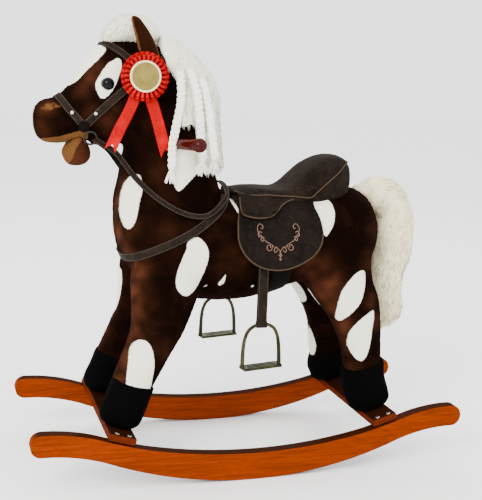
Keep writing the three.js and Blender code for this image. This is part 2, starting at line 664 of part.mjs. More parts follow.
const braids = [
  {
    name: 'front',
    run: [[-127, 58, 622], [-125, 60, 580], [-132, 61, 541], [-136, 64, 512], [-137, 68, 480]],
  },
  { name: 'middle', run: [[-107, 60, 624], [-97, 65, 590], [-92, 66, 556], [-89, 67, 520], [-86, 69, 492]] },
  { name: 'rear', run: [[-88, 57, 611], [-78, 61, 574], [-71, 64, 528], [-66, 67, 494]] },
];
for (const { name, run } of braids) {
  for (const side of sides) {
    const rows = run.map(([x, y, z]) => [x, side * (y - 2), z, 6.2]);
    const [x, y, z] = rows[rows.length - 1];
    rows.push([x - 2, y + side * 2, z - 9, 5], [x - 3, y + side * 3, z - 20, 8.5],
      [x - 3, y + side * 3, z - 30, 8]);
    const braid = cut(strand(rows), hide(clearance), neck(20 + clearance, 9 + clearance));
    add(`braid_${name}_${sideName[side]}`, mainLump(braid), 'yarn');
  }
}

const tailStations = [
  ...dock.map(([x, radius]) => [x, 0, tailHinge.z, 90, radius, radius]),
  [258, 0, 430, 76, 25, 26], [270, 0, 414, 50, 29, 29], [277, 0, 390, 20, 34, 31], [276, 0, 360, 4, 35, 31],
  [274, 0, 328, -5, 33, 30], [269, 0, 296, -8, 29, 28], [267, 0, 266, -4, 26, 26], [273, 0, 238, 6, 27, 27],
  [273, 0, 216, 10, 25, 24], [270, 0, 200, 14, 14, 15],
];
add('tail', stuffed(tailStations, { count: 16, squareness: 2 }), 'cream');

// ---------------------------------------------------------------- saddle

// The flaps bend only one way, so their section is one line from under the seat to the lower edge.
const flapLine = [[40, 429.5], [58, 415], [73, 398.5], [86, 378], [95, 357], [flapStandOff, 338],
  [flapStandOff, 314]];

function sheetSection(offset, thickness) {
  const line = blend(flapLine, 2);
  const edge = (distance) => line.map(([y, z], i) => {
    const [before, after] = [line[Math.max(i - 1, 0)], line[Math.min(i + 1, line.length - 1)]];
    const [dy, dz] = [after[0] - before[0], after[1] - before[1]];
    const length = Math.hypot(dy, dz);
    return [y - dz / length * distance, z + dy / length * distance];
  });
  return [...edge(offset), ...edge(offset + thickness).reverse()];
}

// A sheet on one side, bent to the flap's section and cut to an outline.
function saddleSheet(side, offset, thickness, outline) {
  const section = sheetSection(offset, thickness).map(([y, z]) => [side * y, z]);
  if (side < 0) section.reverse();
  const half = side < 0 ? [-130, 0] : [0, 130];
  return slabAlongX(section, -60, 130).intersect(slabAlongY(outline, ...half));
}

const flapOutline = blend([[-28, 446], [-29, 410], [-30, 388], [-27, 367], [-18, 350], [0, 335], [22, 326],
  [45, 325], [68, 331], [90, 344], [104, 360], [109, 378], [107, 396], [98, 420], [90, 446]], 2);
const skirtOutline = blend([[-25, 446], [-26, 432], [-22, 419], [-10, 413], [8, 410], [26, 414], [42, 425],
  [58, 433], [76, 435], [92, 434], [97, 446]], 2);
const seatStations = [
  [-32, 440, 22, 446], [-21, 430, 40, 446], [0, 416, 55, 442], [30, 412, 60, 440], [60, 412, 62, 441],
  [78, 412, 64, 452], [102, 412, 64, 477], [128, 412, 62, 494], [150, 414, 57, 498], [166, 426, 48, 493],
  [175, 444, 34, 482], [179, 455, 18, 470],
].map(([x, bottom, width, top]) => [x, 0, (bottom + top) / 2, 90, (top - bottom) / 2, width]);

const sheetRoom = (side) => saddleSheet(side, -clearance, flapThickness + 2 * clearance,
  flapOutline.map(([x, z]) => [x + Math.sign(x - 38) * clearance, z]));
const skirts = sides.map((side) =>
  saddleSheet(side, flapThickness + clearance, skirtThickness, skirtOutline));
const seat = cut(join(stuffed(seatStations, { count: 16, squareness: 2.4 }), ...skirts),
  hide(clearance), ...sides.map(sheetRoom));
add('saddle_seat', mainLump(seat), 'suede');
for (const side of sides) {
  add(`saddle_flap_${sideName[side]}`, mainLump(cut(saddleSheet(side, 0, flapThickness, flapOutline),
    hide(clearance))), 'suede');
}

const girthRun = box(girthPlace - girthWidth / 2, girthPlace + girthWidth / 2, -120, 120, 200, 356);
add('girth', cut(torso(clearance + strapThickness), torso(clearance)).intersect(girthRun), 'leather');

// ---------------------------------------------------------------- bridle, reins and breast strap

add('headstall', mainLump(cut(headstall, ...earsRoom)), 'leather');

const noseLine = [[-305, 588], [-293, 572], [-284, 560], [-272, 547], [-263, 537]];
const noseband = cut(faceShell.intersect(slabAlongY(band(noseLine, 12, 1), -120, 120)), headstallRoom);
add('noseband', mainLump(noseband), 'leather');

const browLine = [[-246, 668], [-231, 659], [-215, 650], [-199, 638], [-184, 622]];
const browband = cut(faceShell.intersect(slabAlongY(band(browLine, 12, 1), -120, 120)), headstallRoom);
add('browband', mainLump(browband), 'leather');

const breastLine = [[-222, 318], [-204, 326], [-187, 337], [-163, 349], [-137, 361], [-99, 381], [-77, 396],
  [-54, 413], [-38, 430]];
const trunk = (grow) => join(torso(grow), neck(grow), ...sides.map((side) => leg('front', side, grow)));
const breast = cut(trunk(clearance + strapThickness), trunk(clearance))
  .intersect(slabAlongY(band(breastLine, breastStrap, 1), -130, 130));
const breastRoom = trunk(strapThickness + 2 * clearance)
  .intersect(slabAlongY(band(breastLine, breastStrap + 2 * clearance, 1), -130, 130));
const seatRoom = stuffed(seatStations, { grow: clearance, count: 16, squareness: 2.4 });
add('breast_strap', mainLump(cut(breast, seatRoom)),
  'leather');

const ringPlace = { x: -252.5, y: 38, z: 518 };
for (const side of sides) {
  const torus = new THREE.TorusGeometry(9.5, 1.5, 5, 12);
  torus.rotateX(Math.PI / 2).translate(ringPlace.x, side * ringPlace.y, ringPlace.z);
  add(`bit_ring_${sideName[side]}`, solid(torus), 'ring');
}

const reinRun = [[-242, 38, 513], [-234, 38, 509.2], [-225.4, 38, 504.5], [-212.6, 38, 495],
  [-200.8, 39, 480.5],
  [-190, 43, 466], [-176.9, 57, 450.5], [-158.8, 70, 434], [-136.8, 77, 419.2], [-111.5, 80, 408],
  [-85.7, 81.5, 404.5], [-66.6, 79, 409.5], [-51.6, 70, 421.5]];
const reinPath = [...reinRun.map(([x, y, z]) => [x, -y, z]), [-43, -55, 436], [-39, -26, 453], [-37, 0, 457],
  [-39, 26, 453], [-43, 55, 436], ...reinRun.map(([x, y, z]) => [x, y, z]).reverse()];
const reinFace = (p) => (Math.abs(p.y) > 60
  ? new THREE.Vector3(0, Math.sign(p.y), 0)
  : new THREE.Vector3(0, p.y / 60, p.x > -100 ? 1 - Math.abs(p.y) / 60 : 0));
const reins = flatStrap(reinPath, reinWidth, strapThickness, reinFace, 1);
add('reins', mainLump(cut(reins, trunk(clearance), breastRoom)), 'leather');

// ---------------------------------------------------------------- stirrups

// A leather is one strap sewn back on itself, with a loop that the iron's top bar lies in.
for (const side of sides) {
  const loop = ironWire / 2 + clearance + 0.1;
  const wall = 1.6;
  const outer = new THREE.Shape();
  const [out, inn] = [loop + wall, 1.5];
  outer.moveTo(-inn, leatherTop).lineTo(-inn, ironPivot + out + 4);
  outer.quadraticCurveTo(-out, ironPivot + out, -out, ironPivot);
  outer.absarc(0, ironPivot, out, Math.PI, 2 * Math.PI, false);
  outer.quadraticCurveTo(out, ironPivot + out, inn, ironPivot + out + 4);
  outer.lineTo(inn, leatherTop);
  const hole = new THREE.Path();
  hole.absarc(0, ironPivot, loop, 0, 2 * Math.PI, true);
  outer.holes.push(hole);
  const geometry = new THREE.ExtrudeGeometry(outer, {
    depth: leatherWidth, bevelEnabled: false, curveSegments: 6,
  });
  geometry.applyMatrix4(new THREE.Matrix4().makeBasis(
    new THREE.Vector3(0, 1, 0), new THREE.Vector3(0, 0, 1), new THREE.Vector3(1, 0, 0)));
  geometry.translate(leatherPlace[side] - leatherWidth / 2, side * leatherPlane, 0);
  add(`stirrup_leather_${sideName[side]}`, solid(geometry), 'leather');
}

// An iron is a bow over a ribbed tread.
function stirrupIron(side) {
  const half = ironWidth / 2 - ironWire / 2;
  const foot = ironTread + treadThickness / 2;
  const right = [[half, 0, foot], [half, 0, foot + 16], [half - 0.5, 0, foot + 32], [half - 3, 0, foot + 47],
    [half - 8.5, 0, foot + 59], [half - 16, 0, ironPivot - 2.2], [9.5, 0, ironPivot], [4, 0, ironPivot]];
  const bow = [...right.map(([x, y, z]) => [-x, y, z, ironWire / 2]),
    ...right.map(([x, y, z]) => [x, y, z, ironWire / 2]).reverse()];
  const tread = box(-ironWidth / 2 - 1, ironWidth / 2 + 1, -treadDepth / 2, treadDepth / 2, ironTread,
    ironTread + treadThickness);
  const slots = [-1, 0, 1].map((k) =>
    box(-ironWidth / 2 + 9, ironWidth / 2 - 9, k * 6.4 - 1.3, k * 6.4 + 1.3, ironTread - 1,
      ironTread + treadThickness + 1));
  const geometry = geometryOf(cut(join(strand(bow, 1, 6), tread), ...slots));
  geometry.translate(leatherPlace[side], side * leatherPlane, 0);
  return solid(geometry);
}
for (const side of sides) add(`stirrup_iron_${sideName[side]}`, stirrupIron(side), 'iron');

// ---------------------------------------------------------------- rosette

const rosetteFace = [0, -1, 0];
const rosetteAt = [rosette.x, rosette.y, rosette.z];
function pleatedRuffle() {
  const outline = [];
  for (let i = 0; i < rosette.pleats * 2; i++) {
    const angle = Math.PI * i / rosette.pleats;
    const radius = rosette.size / 2 - (i % 2 ? 2.6 : 0);
    outline.push([rosette.x + radius * Math.cos(angle), rosette.z + radius * Math.sin(angle)]);
  }
  const disc = slabAlongY(outline, rosette.y - 7, rosette.y + 1);
  const slope = turned([[rosette.button / 2 + 1, 8], [rosette.size / 2 + 3, 3.5], [rosette.size / 2 + 3, 9],
    [rosette.button / 2 + 1, 9], [rosette.button / 2 + 1, 8]], rosetteAt, rosetteFace, 22);
  return cut(disc, slope);
}
const button = turned([[0, 2], [rosette.button / 2, 2], [rosette.button / 2, 7.5],
  [rosette.button / 2 - 2, 9], [0, 9.5]], rosetteAt, rosetteFace, 22);
const stem = rod([rosette.x, rosette.y, rosette.z], [rosette.x, rosette.y + 30, rosette.z], 9, 16);
const rosetteSolid = cut(join(pleatedRuffle(), button, stem), head(strapThickness + 2 * clearance),
  neck(strapThickness + 2 * clearance));
add('rosette', mainLump(rosetteSolid), 'satin');

const ribbonOutline = [[-200, 584], [-154, 584], [-133, 499], [-143, 504], [-152, 494], [-176, 573],
  [-184, 573],
  [-222, 497], [-226, 508], [-236, 505]];
const ribbons = slabAlongY(ribbonOutline, rosette.y + 1 + clearance, rosette.y + 2.6 + clearance);
add('rosette_ribbons', mainLump(cut(ribbons, rod([rosette.x, rosette.y - 20, rosette.z],
  [rosette.x, rosette.y + 30, rosette.z], 9 + clearance, 16))), 'satin');

export default horse;
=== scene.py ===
import bpy
import bmesh
import math
import numpy as np
from mathutils import Matrix, Vector, noise
from mathutils.bvhtree import BVHTree


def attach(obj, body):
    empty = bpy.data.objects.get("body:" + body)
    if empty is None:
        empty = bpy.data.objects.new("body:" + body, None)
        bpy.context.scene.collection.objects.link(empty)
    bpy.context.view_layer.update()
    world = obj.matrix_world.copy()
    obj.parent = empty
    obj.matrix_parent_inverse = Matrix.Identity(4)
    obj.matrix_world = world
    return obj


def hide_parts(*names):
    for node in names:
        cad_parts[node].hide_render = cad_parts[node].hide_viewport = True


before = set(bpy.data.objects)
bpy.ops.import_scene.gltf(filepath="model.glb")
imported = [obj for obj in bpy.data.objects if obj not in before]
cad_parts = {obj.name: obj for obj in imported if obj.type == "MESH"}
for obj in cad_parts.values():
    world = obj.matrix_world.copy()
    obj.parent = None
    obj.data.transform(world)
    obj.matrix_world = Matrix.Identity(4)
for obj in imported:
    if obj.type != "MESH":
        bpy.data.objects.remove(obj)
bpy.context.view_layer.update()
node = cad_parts
scene = bpy.context.scene
MM = 0.001                      # sizes below are in millimetres, the scene is in metres

# ---------------------------------------------------------------- camera
# A plain studio view from the horse's front left, a little above saddle height.
EYE_POINT = (-0.4748, -1.4840, 0.6189)
lens_data = bpy.data.cameras.new("camera")
lens_data.lens = 69.39
lens_data.sensor_width = 36
lens_data.shift_x = -0.0044
lens_data.shift_y = -0.0243
camera = bpy.data.objects.new("camera", lens_data)
scene.collection.objects.link(camera)
yaw, pitch, roll = math.radians(17.95), math.radians(9.55), math.radians(2.29)
ahead = Vector((math.sin(yaw) * math.cos(pitch), math.cos(yaw) * math.cos(pitch), -math.sin(pitch)))
level = Vector((math.cos(yaw), -math.sin(yaw), 0))
upright = level.cross(ahead)
right = level * math.cos(roll) + upright * math.sin(roll)
above = upright * math.cos(roll) - level * math.sin(roll)
camera.matrix_world = Matrix.Translation(EYE_POINT) @ Matrix((right, above, -ahead)).transposed().to_4x4()
scene.camera = camera

# ---------------------------------------------------------------- studio
# A white sweep under a bright even sky and three soft lamps, the strongest of them
# high on the left, where the horse looks.


def linear(colour):
    """A colour written as sRGB hex, in the linear light that Blender's sockets take."""
    parts = [int(colour[i:i + 2], 16) / 255 for i in (1, 3, 5)]
    return tuple(c / 12.92 if c <= 0.04045 else ((c + 0.055) / 1.055) ** 2.4 for c in parts) + (1.0,)


def set_inputs(made, **inputs):
    """Sets a node's inputs, named or as _0, _1: by value, sRGB hex colour, or another node or socket."""
    for name, value in inputs.items():
        socket = made.inputs[int(name[1:]) if name[1:].isdigit() else name.replace("_", " ")]
        if isinstance(value, bpy.types.Node):
            value = value.outputs.get("Fac") or value.outputs[0]
        if isinstance(value, bpy.types.NodeSocket):
            made.id_data.links.new(value, socket)
        else:
            socket.default_value = linear(value) if isinstance(value, str) else value
    return made


def add_node(tree, kind, settings=None, ramp=(), **inputs):
    """Adds one node with its settings, its colour ramp as (position, colour) stops, and its inputs."""
    made = tree.nodes.new("ShaderNode" + kind)
    for name, value in (settings or {}).items():
        setattr(made, name, value)
    for stop, (position, colour) in enumerate(ramp):
        made.color_ramp.elements[stop].position = position
        made.color_ramp.elements[stop].color = linear(colour)
    return set_inputs(made, **inputs)


def new_material(name, **inputs):
    """A material with these shader inputs, as (material, tree, shader, place on the piece)."""
    material = bpy.data.materials.new(name)
    material.use_nodes = True
    tree = material.node_tree
    tree.nodes.clear()
    shader = add_node(tree, "BsdfPrincipled", **inputs)
    add_node(tree, "OutputMaterial", Surface=shader)
    return material, tree, shader, add_node(tree, "TexCoord").outputs["Object"]


def lamp(name, place, size, power, colour):
    """A soft square lamp that looks at the middle of the horse."""
    data = bpy.data.lights.new(name, "AREA")
    data.size = size
    data.energy = power
    data.color = linear(colour)[:3]
    made = bpy.data.objects.new(name, data)
    scene.collection.objects.link(made)
    made.location = place
    made.rotation_euler = (Vector((0, 0, 0.35)) - Vector(place)).to_track_quat("-Z", "Y").to_euler()


lamp("lamp_left", (-1.8, -1.9, 1.9), 1.2, 105, "#fff8ee")
lamp("lamp_right", (2.2, -1.2, 1.8), 1.8, 18, "#f6f8ff")
lamp("lamp_back", (0.4, 2.0, 2.4), 1.8, 30, "#ffffff")
world = bpy.data.worlds.new("studio")
scene.world = world
world.use_nodes = True
set_inputs(world.node_tree.nodes["Background"], Color="#ffffff", Strength=2.4)

floor_mesh = bpy.data.meshes.new("floor")
bm = bmesh.new()
bmesh.ops.create_grid(bm, x_segments=1, y_segments=1, size=14)
bm.to_mesh(floor_mesh)
bm.free()
floor_mesh.materials.append(new_material("white_sweep", Base_Color="#fbfbfb", Roughness=0.9)[0])
floor = bpy.data.objects.new("floor", floor_mesh)
scene.collection.objects.link(floor)

# ---------------------------------------------------------------- rockers
# Each rocker is one beech board bent to an arc, with eased edges, stained and
# varnished orange-brown. Its narrow top and bottom edges are painted darker.
SIDES = (("left", -1), ("right", 1))
ROCKER_LENGTH = 700
ROCKER_SPREAD = 268.8
ROCKER_BOARD = 20
ROCKER_DEPTH = 41
ROCKER_ARC = 640
ROCKER_TOP_ARC = 760
ARC_REACH = 238
TIP_HEIGHT = 62
TIP_DEPTH = 34
SHOULDER = ROCKER_LENGTH / 2 - 100          # where the top edge starts to sweep up
TOP_CROWN = 2.2                             # extra height of the top edge at its middle
CROWN_REACH = 175


def sag(radius, x):
    """How much an arc has risen at x from its lowest point."""
    return radius - math.sqrt(radius * radius - x * x)


def glide(a, b, c, t):
    """A point at t on the smooth curve that leaves a towards b and ends at c."""
    return a * (1 - t) ** 2 + 2 * b * t * (1 - t) + c * t ** 2


def rocker_edges(x):
    """The height of a rocker's underside and of its top edge at x."""
    x = abs(x)
    half = ROCKER_LENGTH / 2
    tip_top = TIP_HEIGHT + TIP_DEPTH
    low = sag(ROCKER_ARC, min(x, ARC_REACH))
    high = ROCKER_DEPTH + sag(ROCKER_TOP_ARC, min(x, SHOULDER))
    if x > ARC_REACH:
        low = glide(low, TIP_HEIGHT, TIP_HEIGHT, min(1, (x - ARC_REACH) / (half - 20 - ARC_REACH)))
    if x > SHOULDER:
        high = glide(high, tip_top, tip_top, min(1, (x - SHOULDER) / (half - 18 - SHOULDER)))
    high += TOP_CROWN * max(0, 1 - (x / CROWN_REACH) ** 2)
    rounding = TIP_DEPTH / 2
    if x > half - rounding:
        middle = (low + high) / 2
        share = math.sqrt(max(0, 1 - ((x - half + rounding) / rounding) ** 2))
        low, high = middle + (low - middle) * share, middle + (high - middle) * share
    return low, high


def wood(name, light, dark, edge, roughness, grain, along="X", coat=0.03, coat_roughness=0.25):
    """Beech or pine: long pale and dark grain, short dark flecks, and a thin coat over it. Faces that
    look up or down are painted in the edge colour."""
    material, tree, shader, place = new_material(name, Roughness=roughness, Specular_IOR_Level=0.0,
                                                 Coat_Weight=coat, Coat_Roughness=coat_roughness)
    stretch = {"X": (3, 60, 60), "Y": (60, 3, 60), "Z": (60, 60, 3)}[along]
    run = add_node(tree, "Mapping", _3=stretch, _0=place)
    growth = add_node(tree, "TexNoise", Vector=run, Scale=grain, Detail=5.0, Roughness=0.55, Distortion=0.6)
    flecks = add_node(tree, "TexNoise", Vector=run, Scale=grain * 5, Detail=2.0, Roughness=0.7)
    tones = add_node(tree, "ValToRGB", ramp=((0.3, dark), (0.7, light)), _0=growth)
    speck = add_node(tree, "MapRange", _0=flecks, _1=0.56, _2=0.72)
    mixed = add_node(tree, "MixRGB", {"blend_type": "MULTIPLY"}, _0=speck, _1=tones, _2="#c9926a")
    # faces that look up or down are painted in the edge colour: darker on the rockers and slats, paler on
    # the handle
    facing = add_node(tree, "SeparateXYZ", _0=add_node(tree, "NewGeometry").outputs["Normal"])
    turned = add_node(tree, "Math", {"operation": "ABSOLUTE"}, _0=facing.outputs[2])
    onto = add_node(tree, "MapRange", _0=turned, _1=0.55, _2=0.97)
    set_inputs(shader, Base_Color=add_node(tree, "MixRGB", _0=onto, _1=mixed, _2=edge),
               Normal=add_node(tree, "Bump", Strength=0.08, Distance=0.0006, Height=growth))
    return material


def to_object(bm, name, material, slot=None, nodes=(), body="horse"):
    """Turns a finished bmesh into a piece that rides on a body and stands for nodes of the frame."""
    bmesh.ops.recalc_face_normals(bm, faces=bm.faces)
    for face in bm.faces:
        face.smooth = True
    mesh = bpy.data.meshes.new(name)
    bm.to_mesh(mesh)
    bm.free()
    mesh.materials.append(material)
    piece = bpy.data.objects.new(name, mesh)
    scene.collection.objects.link(piece)
    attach(piece, body)
    if nodes:
        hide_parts(*nodes)
    return piece


def soften(piece, width):
    """Eases a piece's hard edges with a small round."""
    modifier = piece.modifiers.new("ease", "BEVEL")
    modifier.width = width * MM
    modifier.segments = 3
    modifier.limit_method = "ANGLE"
    modifier.angle_limit = math.radians(40)
    modifier.harden_normals = True


def drawn_out(bm, way):
    """Draws all faces out along a way, in millimetres, to a closed solid."""
    grown = bmesh.ops.extrude_face_region(bm, geom=bm.faces[:])
    moved = [g for g in grown["geom"] if isinstance(g, bmesh.types.BMVert)]
    bmesh.ops.translate(bm, verts=moved, vec=Vector(way) * MM)


rocker_wood = wood("stained_beech_board", "#7e2d04", "#5c2102", "#2a1206", 0.5, 5.0)
for side, y_sign in SIDES:
    bm = bmesh.new()
    bmesh.ops.create_grid(bm, x_segments=120, y_segments=6, size=1)
    for v in bm.verts:
        x = ROCKER_LENGTH / 2 * (0.35 * v.co.x + 0.65 * math.sin(v.co.x * math.pi / 2))
        low, high = rocker_edges(x)
        height = low + (high - low) * (v.co.y + 1) / 2
        v.co = Vector((x, (y_sign * ROCKER_SPREAD - ROCKER_BOARD) / 2, height)) * MM
    bmesh.ops.remove_doubles(bm, verts=bm.verts, dist=0.0003)
    drawn_out(bm, (0, ROCKER_BOARD, 0))
    soften(to_object(bm, f"rocker_board_{side}", rocker_wood, "rocker_wood", [f"rocker_{side}"]), 2.2)

# ---------------------------------------------------------------- crossbars
# Two flat beech slats lie across the rockers and carry the horse, stained darker
# than the rockers. Each end is held by two domed zinc screws.
BAR_PLACE = 216
BAR_WIDTH = 43
BAR_THICKNESS = 12
BAR_LENGTH = ROCKER_SPREAD + ROCKER_BOARD - 6.8
SLOPE = math.asin(BAR_PLACE / ROCKER_TOP_ARC)
SEAT_REACH = BAR_WIDTH / 2 * math.cos(SLOPE) + 1
SEAT_HEIGHT = ROCKER_DEPTH + (sag(ROCKER_TOP_ARC, BAR_PLACE - SEAT_REACH)
                              + sag(ROCKER_TOP_ARC, BAR_PLACE + SEAT_REACH)) / 2
SCREW_HEAD = 3.7
SCREW_ROWS = (("inner", -9.5), ("outer", 9.5))


def on_bar(end, s, h):
    """A point on a crossbar: s along its slope, h above its top face."""
    up = 0.3 + BAR_THICKNESS + h
    return (end * (BAR_PLACE + s * math.cos(SLOPE) - up * math.sin(SLOPE)),
            SEAT_HEIGHT + s * math.sin(SLOPE) + up * math.cos(SLOPE))


def set_on_bar(bm, end, s, h, y):
    """Moves a form made at the origin onto a crossbar, in line with its slope."""
    x, z = on_bar(end, s, h)
    bmesh.ops.transform(bm, verts=bm.verts, matrix=Matrix.Translation(Vector((x, y, z)) * MM)
                        @ Matrix.Rotation(-end * SLOPE, 4, "Y"))


bar_wood = wood("dark_stained_slat", "#5a2109", "#3b1507", "#1f0d06", 0.5, 5.0, "Y")
zinc, tree, shader, place = new_material("zinc_plated_steel", Base_Color="#8c867b", Metallic=1.0,
                                         Roughness=0.3)
scuffs = add_node(tree, "TexNoise", Vector=place, Scale=900.0, Detail=3.0)
set_inputs(shader, Normal=add_node(tree, "Bump", Strength=0.15, Distance=0.0002, Height=scuffs))
for end, word in ((-1, "front"), (1, "rear")):
    bm = bmesh.new()
    bmesh.ops.create_cube(bm, size=1)
    bmesh.ops.scale(bm, verts=bm.verts, vec=Vector((BAR_WIDTH, BAR_LENGTH, BAR_THICKNESS)) * MM)
    set_on_bar(bm, end, 0, -BAR_THICKNESS / 2, 0)
    soften(to_object(bm, f"crossbar_slat_{word}", bar_wood, "crossbar_wood", [f"{word}_crossbar"]), 2.6)
    for side, y_sign in SIDES:
        for row, s in SCREW_ROWS:
            # a domed head with a cross recess, over the shank that the board hides
            bm = bmesh.new()
            bmesh.ops.create_uvsphere(bm, u_segments=24, v_segments=12, radius=SCREW_HEAD * MM)
            bmesh.ops.bisect_plane(bm, geom=bm.verts[:] + bm.edges[:] + bm.faces[:], plane_co=(0, 0, 0),
                                   plane_no=(0, 0, -1), clear_outer=True)
            bmesh.ops.holes_fill(bm, edges=bm.edges)
            bmesh.ops.scale(bm, verts=bm.verts, vec=(1, 1, 0.5))
            for v in bm.verts:
                in_cross = min(abs(v.co.x), abs(v.co.y)) < 0.7 * MM and v.co.xy.length < 2.4 * MM
                if in_cross and v.co.z > 0.8 * MM:
                    v.co.z -= 0.9 * MM
            bmesh.ops.create_cone(bm, segments=12, radius1=1.2 * MM, radius2=2.0 * MM, depth=31 * MM,
                                  cap_ends=True, matrix=Matrix.Translation((0, 0, -15.6 * MM)))
            set_on_bar(bm, end, s, 0.5, y_sign * ROCKER_SPREAD / 2)
            to_object(bm, f"domed_screw_{word}_{side}_{row}", zinc, "zinc_fixing",
                      [f"screw_{word}_{side}_{row}"])
        node[f"hoof_bolt_{word}_{side}"].data.materials.clear()
        node[f"hoof_bolt_{word}_{side}"].data.materials.append(zinc)

# ---------------------------------------------------------------- inner frame
# Bare pine posts, rails and boards inside the stuffing. The hide covers them all.
pine = wood("bare_pine", "#d9bc8c", "#bb9560", "#cda974", 0.75, 6.0, "Z")
for name in ("front_leg_frame", "rear_leg_frame", "spine_board", "neck_post"):
    node[name].data.materials.clear()
    node[name].data.materials.append(pine)
# ---------------------------------------------------------------- plush hide
# Torso, neck, legs and head are sewn from short-pile brown plush with cream patches
# and stuffed hard with fibre. The pile looks nearly black from above and red-brown at
# a grazing angle; more red-brown is painted on as sheen where the pile would catch the light.
TORSO = [
    (-207, 372, 424, 24), (-199, 338, 446, 48), (-180, 308, 456, 66), (-140, 278, 456, 80),
    (-90, 262, 446, 86), (-35, 258, 434, 88), (10, 260.5, 430, 88), (42, 269, 430, 88),
    (75, 280.5, 431, 88), (110, 287, 436, 89), (150, 287, 442, 90), (185, 294, 443, 83),
    (209, 306, 432, 67), (225, 324, 410, 47), (233, 346, 384, 24)]
NECK = [
    (-140, 0, 335, 0, 58, 60), (-131, 0, 385, 0, 76, 74), (-124, 0, 420, 0, 86, 74),
    (-124, 0, 450, 0, 80, 68), (-127, 0, 478, 0, 73, 62), (-126, 0, 510, 0, 67, 56),
    (-125, 0, 545, 0, 63, 52), (-124, 0, 580, 0, 60, 48), (-127, 0, 612, 0, 53, 44),
    (-135, 0, 642, 0, 38, 36), (-141, 0, 658, 0, 22, 24)]
FRONT_LEG = [
    (-212, 82, 88, -15, 22, 21), (-209, 82, 102, -15, 27, 26), (-195.5, 80, 133, -12, 31.3, 30.5),
    (-175, 76, 177, -8, 34.6, 32), (-150.5, 69, 225, -4, 41.3, 35), (-139, 60, 269, 0, 51, 40),
    (-133, 50, 310, 0, 57, 43), (-130, 44, 352, 0, 50, 38)]
REAR_LEG = [
    (205, 82, 90, 15, 19, 19), (203, 81.5, 104, 14, 25, 25), (196, 80, 142, 10, 30.3, 31),
    (192, 75, 194, 4, 33.2, 33), (179, 66, 243, 0, 47, 38), (165, 58, 272, 0, 57, 42),
    (154.2, 51, 300, 0, 59.7, 45), (155.3, 45, 340, 0, 58.3, 45), (165, 38, 380, 0, 50, 38)]
HEAD = [
    (-334, 0, 539, 92, 6, 6), (-332.8, 0, 539, 92, 15, 14), (-329.2, 0, 539, 93, 23.5, 21),
    (-322.8, 0, 539, 94, 30, 27.5), (-309, 0, 540, 96, 34.5, 33), (-293, 0, 542.5, 98, 35, 33),
    (-281, 0, 547.3, 100, 40.8, 34.5), (-263, 0, 554.3, 103, 50.5, 37), (-244, 0, 566.2, 106, 63.8, 42),
    (-222, 0, 579, 108, 73.8, 47), (-203, 0, 592, 110, 75, 49), (-182, 0, 603, 108, 66, 47),
    (-157, 0, 616, 106, 50, 40), (-143, 0, 622, 105, 30, 27)]
JAW = [
    (-264, 0, 524, 0, 4, 17), (-267, 0, 516, 0, 11, 24), (-267.5, 0, 508, 0, 16.5, 27),
    (-268.5, 0, 497, 0, 22, 28), (-268, 0, 486, 0, 21, 26), (-268, 0, 478, 0, 16, 21),
    (-270, 0, 473.5, 0, 8, 11)]


def smoothed(rows, steps):
    """Rows of numbers blended by a smooth curve, with some steps between each two."""
    rows = np.array(rows, float)
    out = []
    for i in range(len(rows) - 1):
        a, b, c, d = (rows[min(max(k, 0), len(rows) - 1)] for k in (i - 1, i, i + 1, i + 2))
        for s in range(steps):
            t = s / steps
            out.append(0.5 * (2 * b + (c - a) * t + (2 * a - 5 * b + 4 * c - d) * t ** 2
                              + (3 * b - a - 3 * c + d) * t ** 3))
    return np.array(out + [rows[-1]])


def sweep(bm, frames, count=12, power=2.0, closed=False):
    """Skins rings, each (centre, u axis, v axis) in millimetres, the axes as long as the half sizes."""
    first = before = None
    for i, (centre, u_axis, v_axis) in enumerate(frames):
        ends = not closed and i in (0, len(frames) - 1)
        ring = bmesh.ops.create_circle(bm, cap_ends=ends, segments=count, radius=1)["verts"]
        for v in ring:
            u, w = (math.copysign(abs(c) ** (2 / power), c) for c in v.co.xy)
            v.co = (Vector(centre) + Vector(u_axis) * u + Vector(v_axis) * w) * MM
        edges = list({e for v in ring for e in v.link_edges})
        if before:
            bmesh.ops.bridge_loops(bm, edges=before + edges)
        first, before = first or edges, edges
    if closed:
        bmesh.ops.bridge_loops(bm, edges=before + first)
    return bm


def loft_form(stations, steps=2, count=28, power=2.2, grow=0.0):
    """A closed stuffed form through oval stations (x, y, z, tilt, half depth, half width)."""
    frames = []
    for x, y, z, tilt, depth, width in smoothed(stations, steps):
        along = Vector((math.cos(math.radians(tilt)), 0, math.sin(math.radians(tilt))))
        frames.append(((x, y, z), along * (depth + grow), Vector((0, width + grow, 0))))
    bm = sweep(bmesh.new(), frames, count, power)
    bmesh.ops.recalc_face_normals(bm, faces=bm.faces)
    return bm


def merge(target, source):
    """Moves the form in source into target."""
    spare = bpy.data.meshes.new("spare")
    source.to_mesh(spare)
    source.free()
    target.from_mesh(spare)
    bpy.data.meshes.remove(spare)


def applied(piece, *modifiers):
    """Adds modifiers, each (kind, settings), and applies them. A form that cuts is then removed."""
    for kind, settings in modifiers:
        modifier = piece.modifiers.new(kind.lower(), kind)
        for name, value in settings.items():
            setattr(modifier, name, value)
    graph = bpy.context.evaluated_depsgraph_get()
    mesh = bpy.data.meshes.new_from_object(piece.evaluated_get(graph), depsgraph=graph)
    piece.modifiers.clear()
    piece.data = mesh
    for face in mesh.polygons:
        face.use_smooth = True
    for kind, settings in modifiers:
        if kind == "BOOLEAN":
            bpy.data.objects.remove(settings["object"])


def remeshed(voxel, rounds=0):
    """The modifiers that fuse a form into one skin of small squares and smooth it in some rounds."""
    return [("REMESH", {"mode": "VOXEL", "voxel_size": voxel * MM}),
            ("SMOOTH", {"factor": 0.5, "iterations": rounds})][:2 if rounds else 1]


def boolean(operation, other):
    """The modifier that cuts another form off a piece, or keeps what they share."""
    return "BOOLEAN", {"operation": operation, "object": other, "solver": "EXACT"}


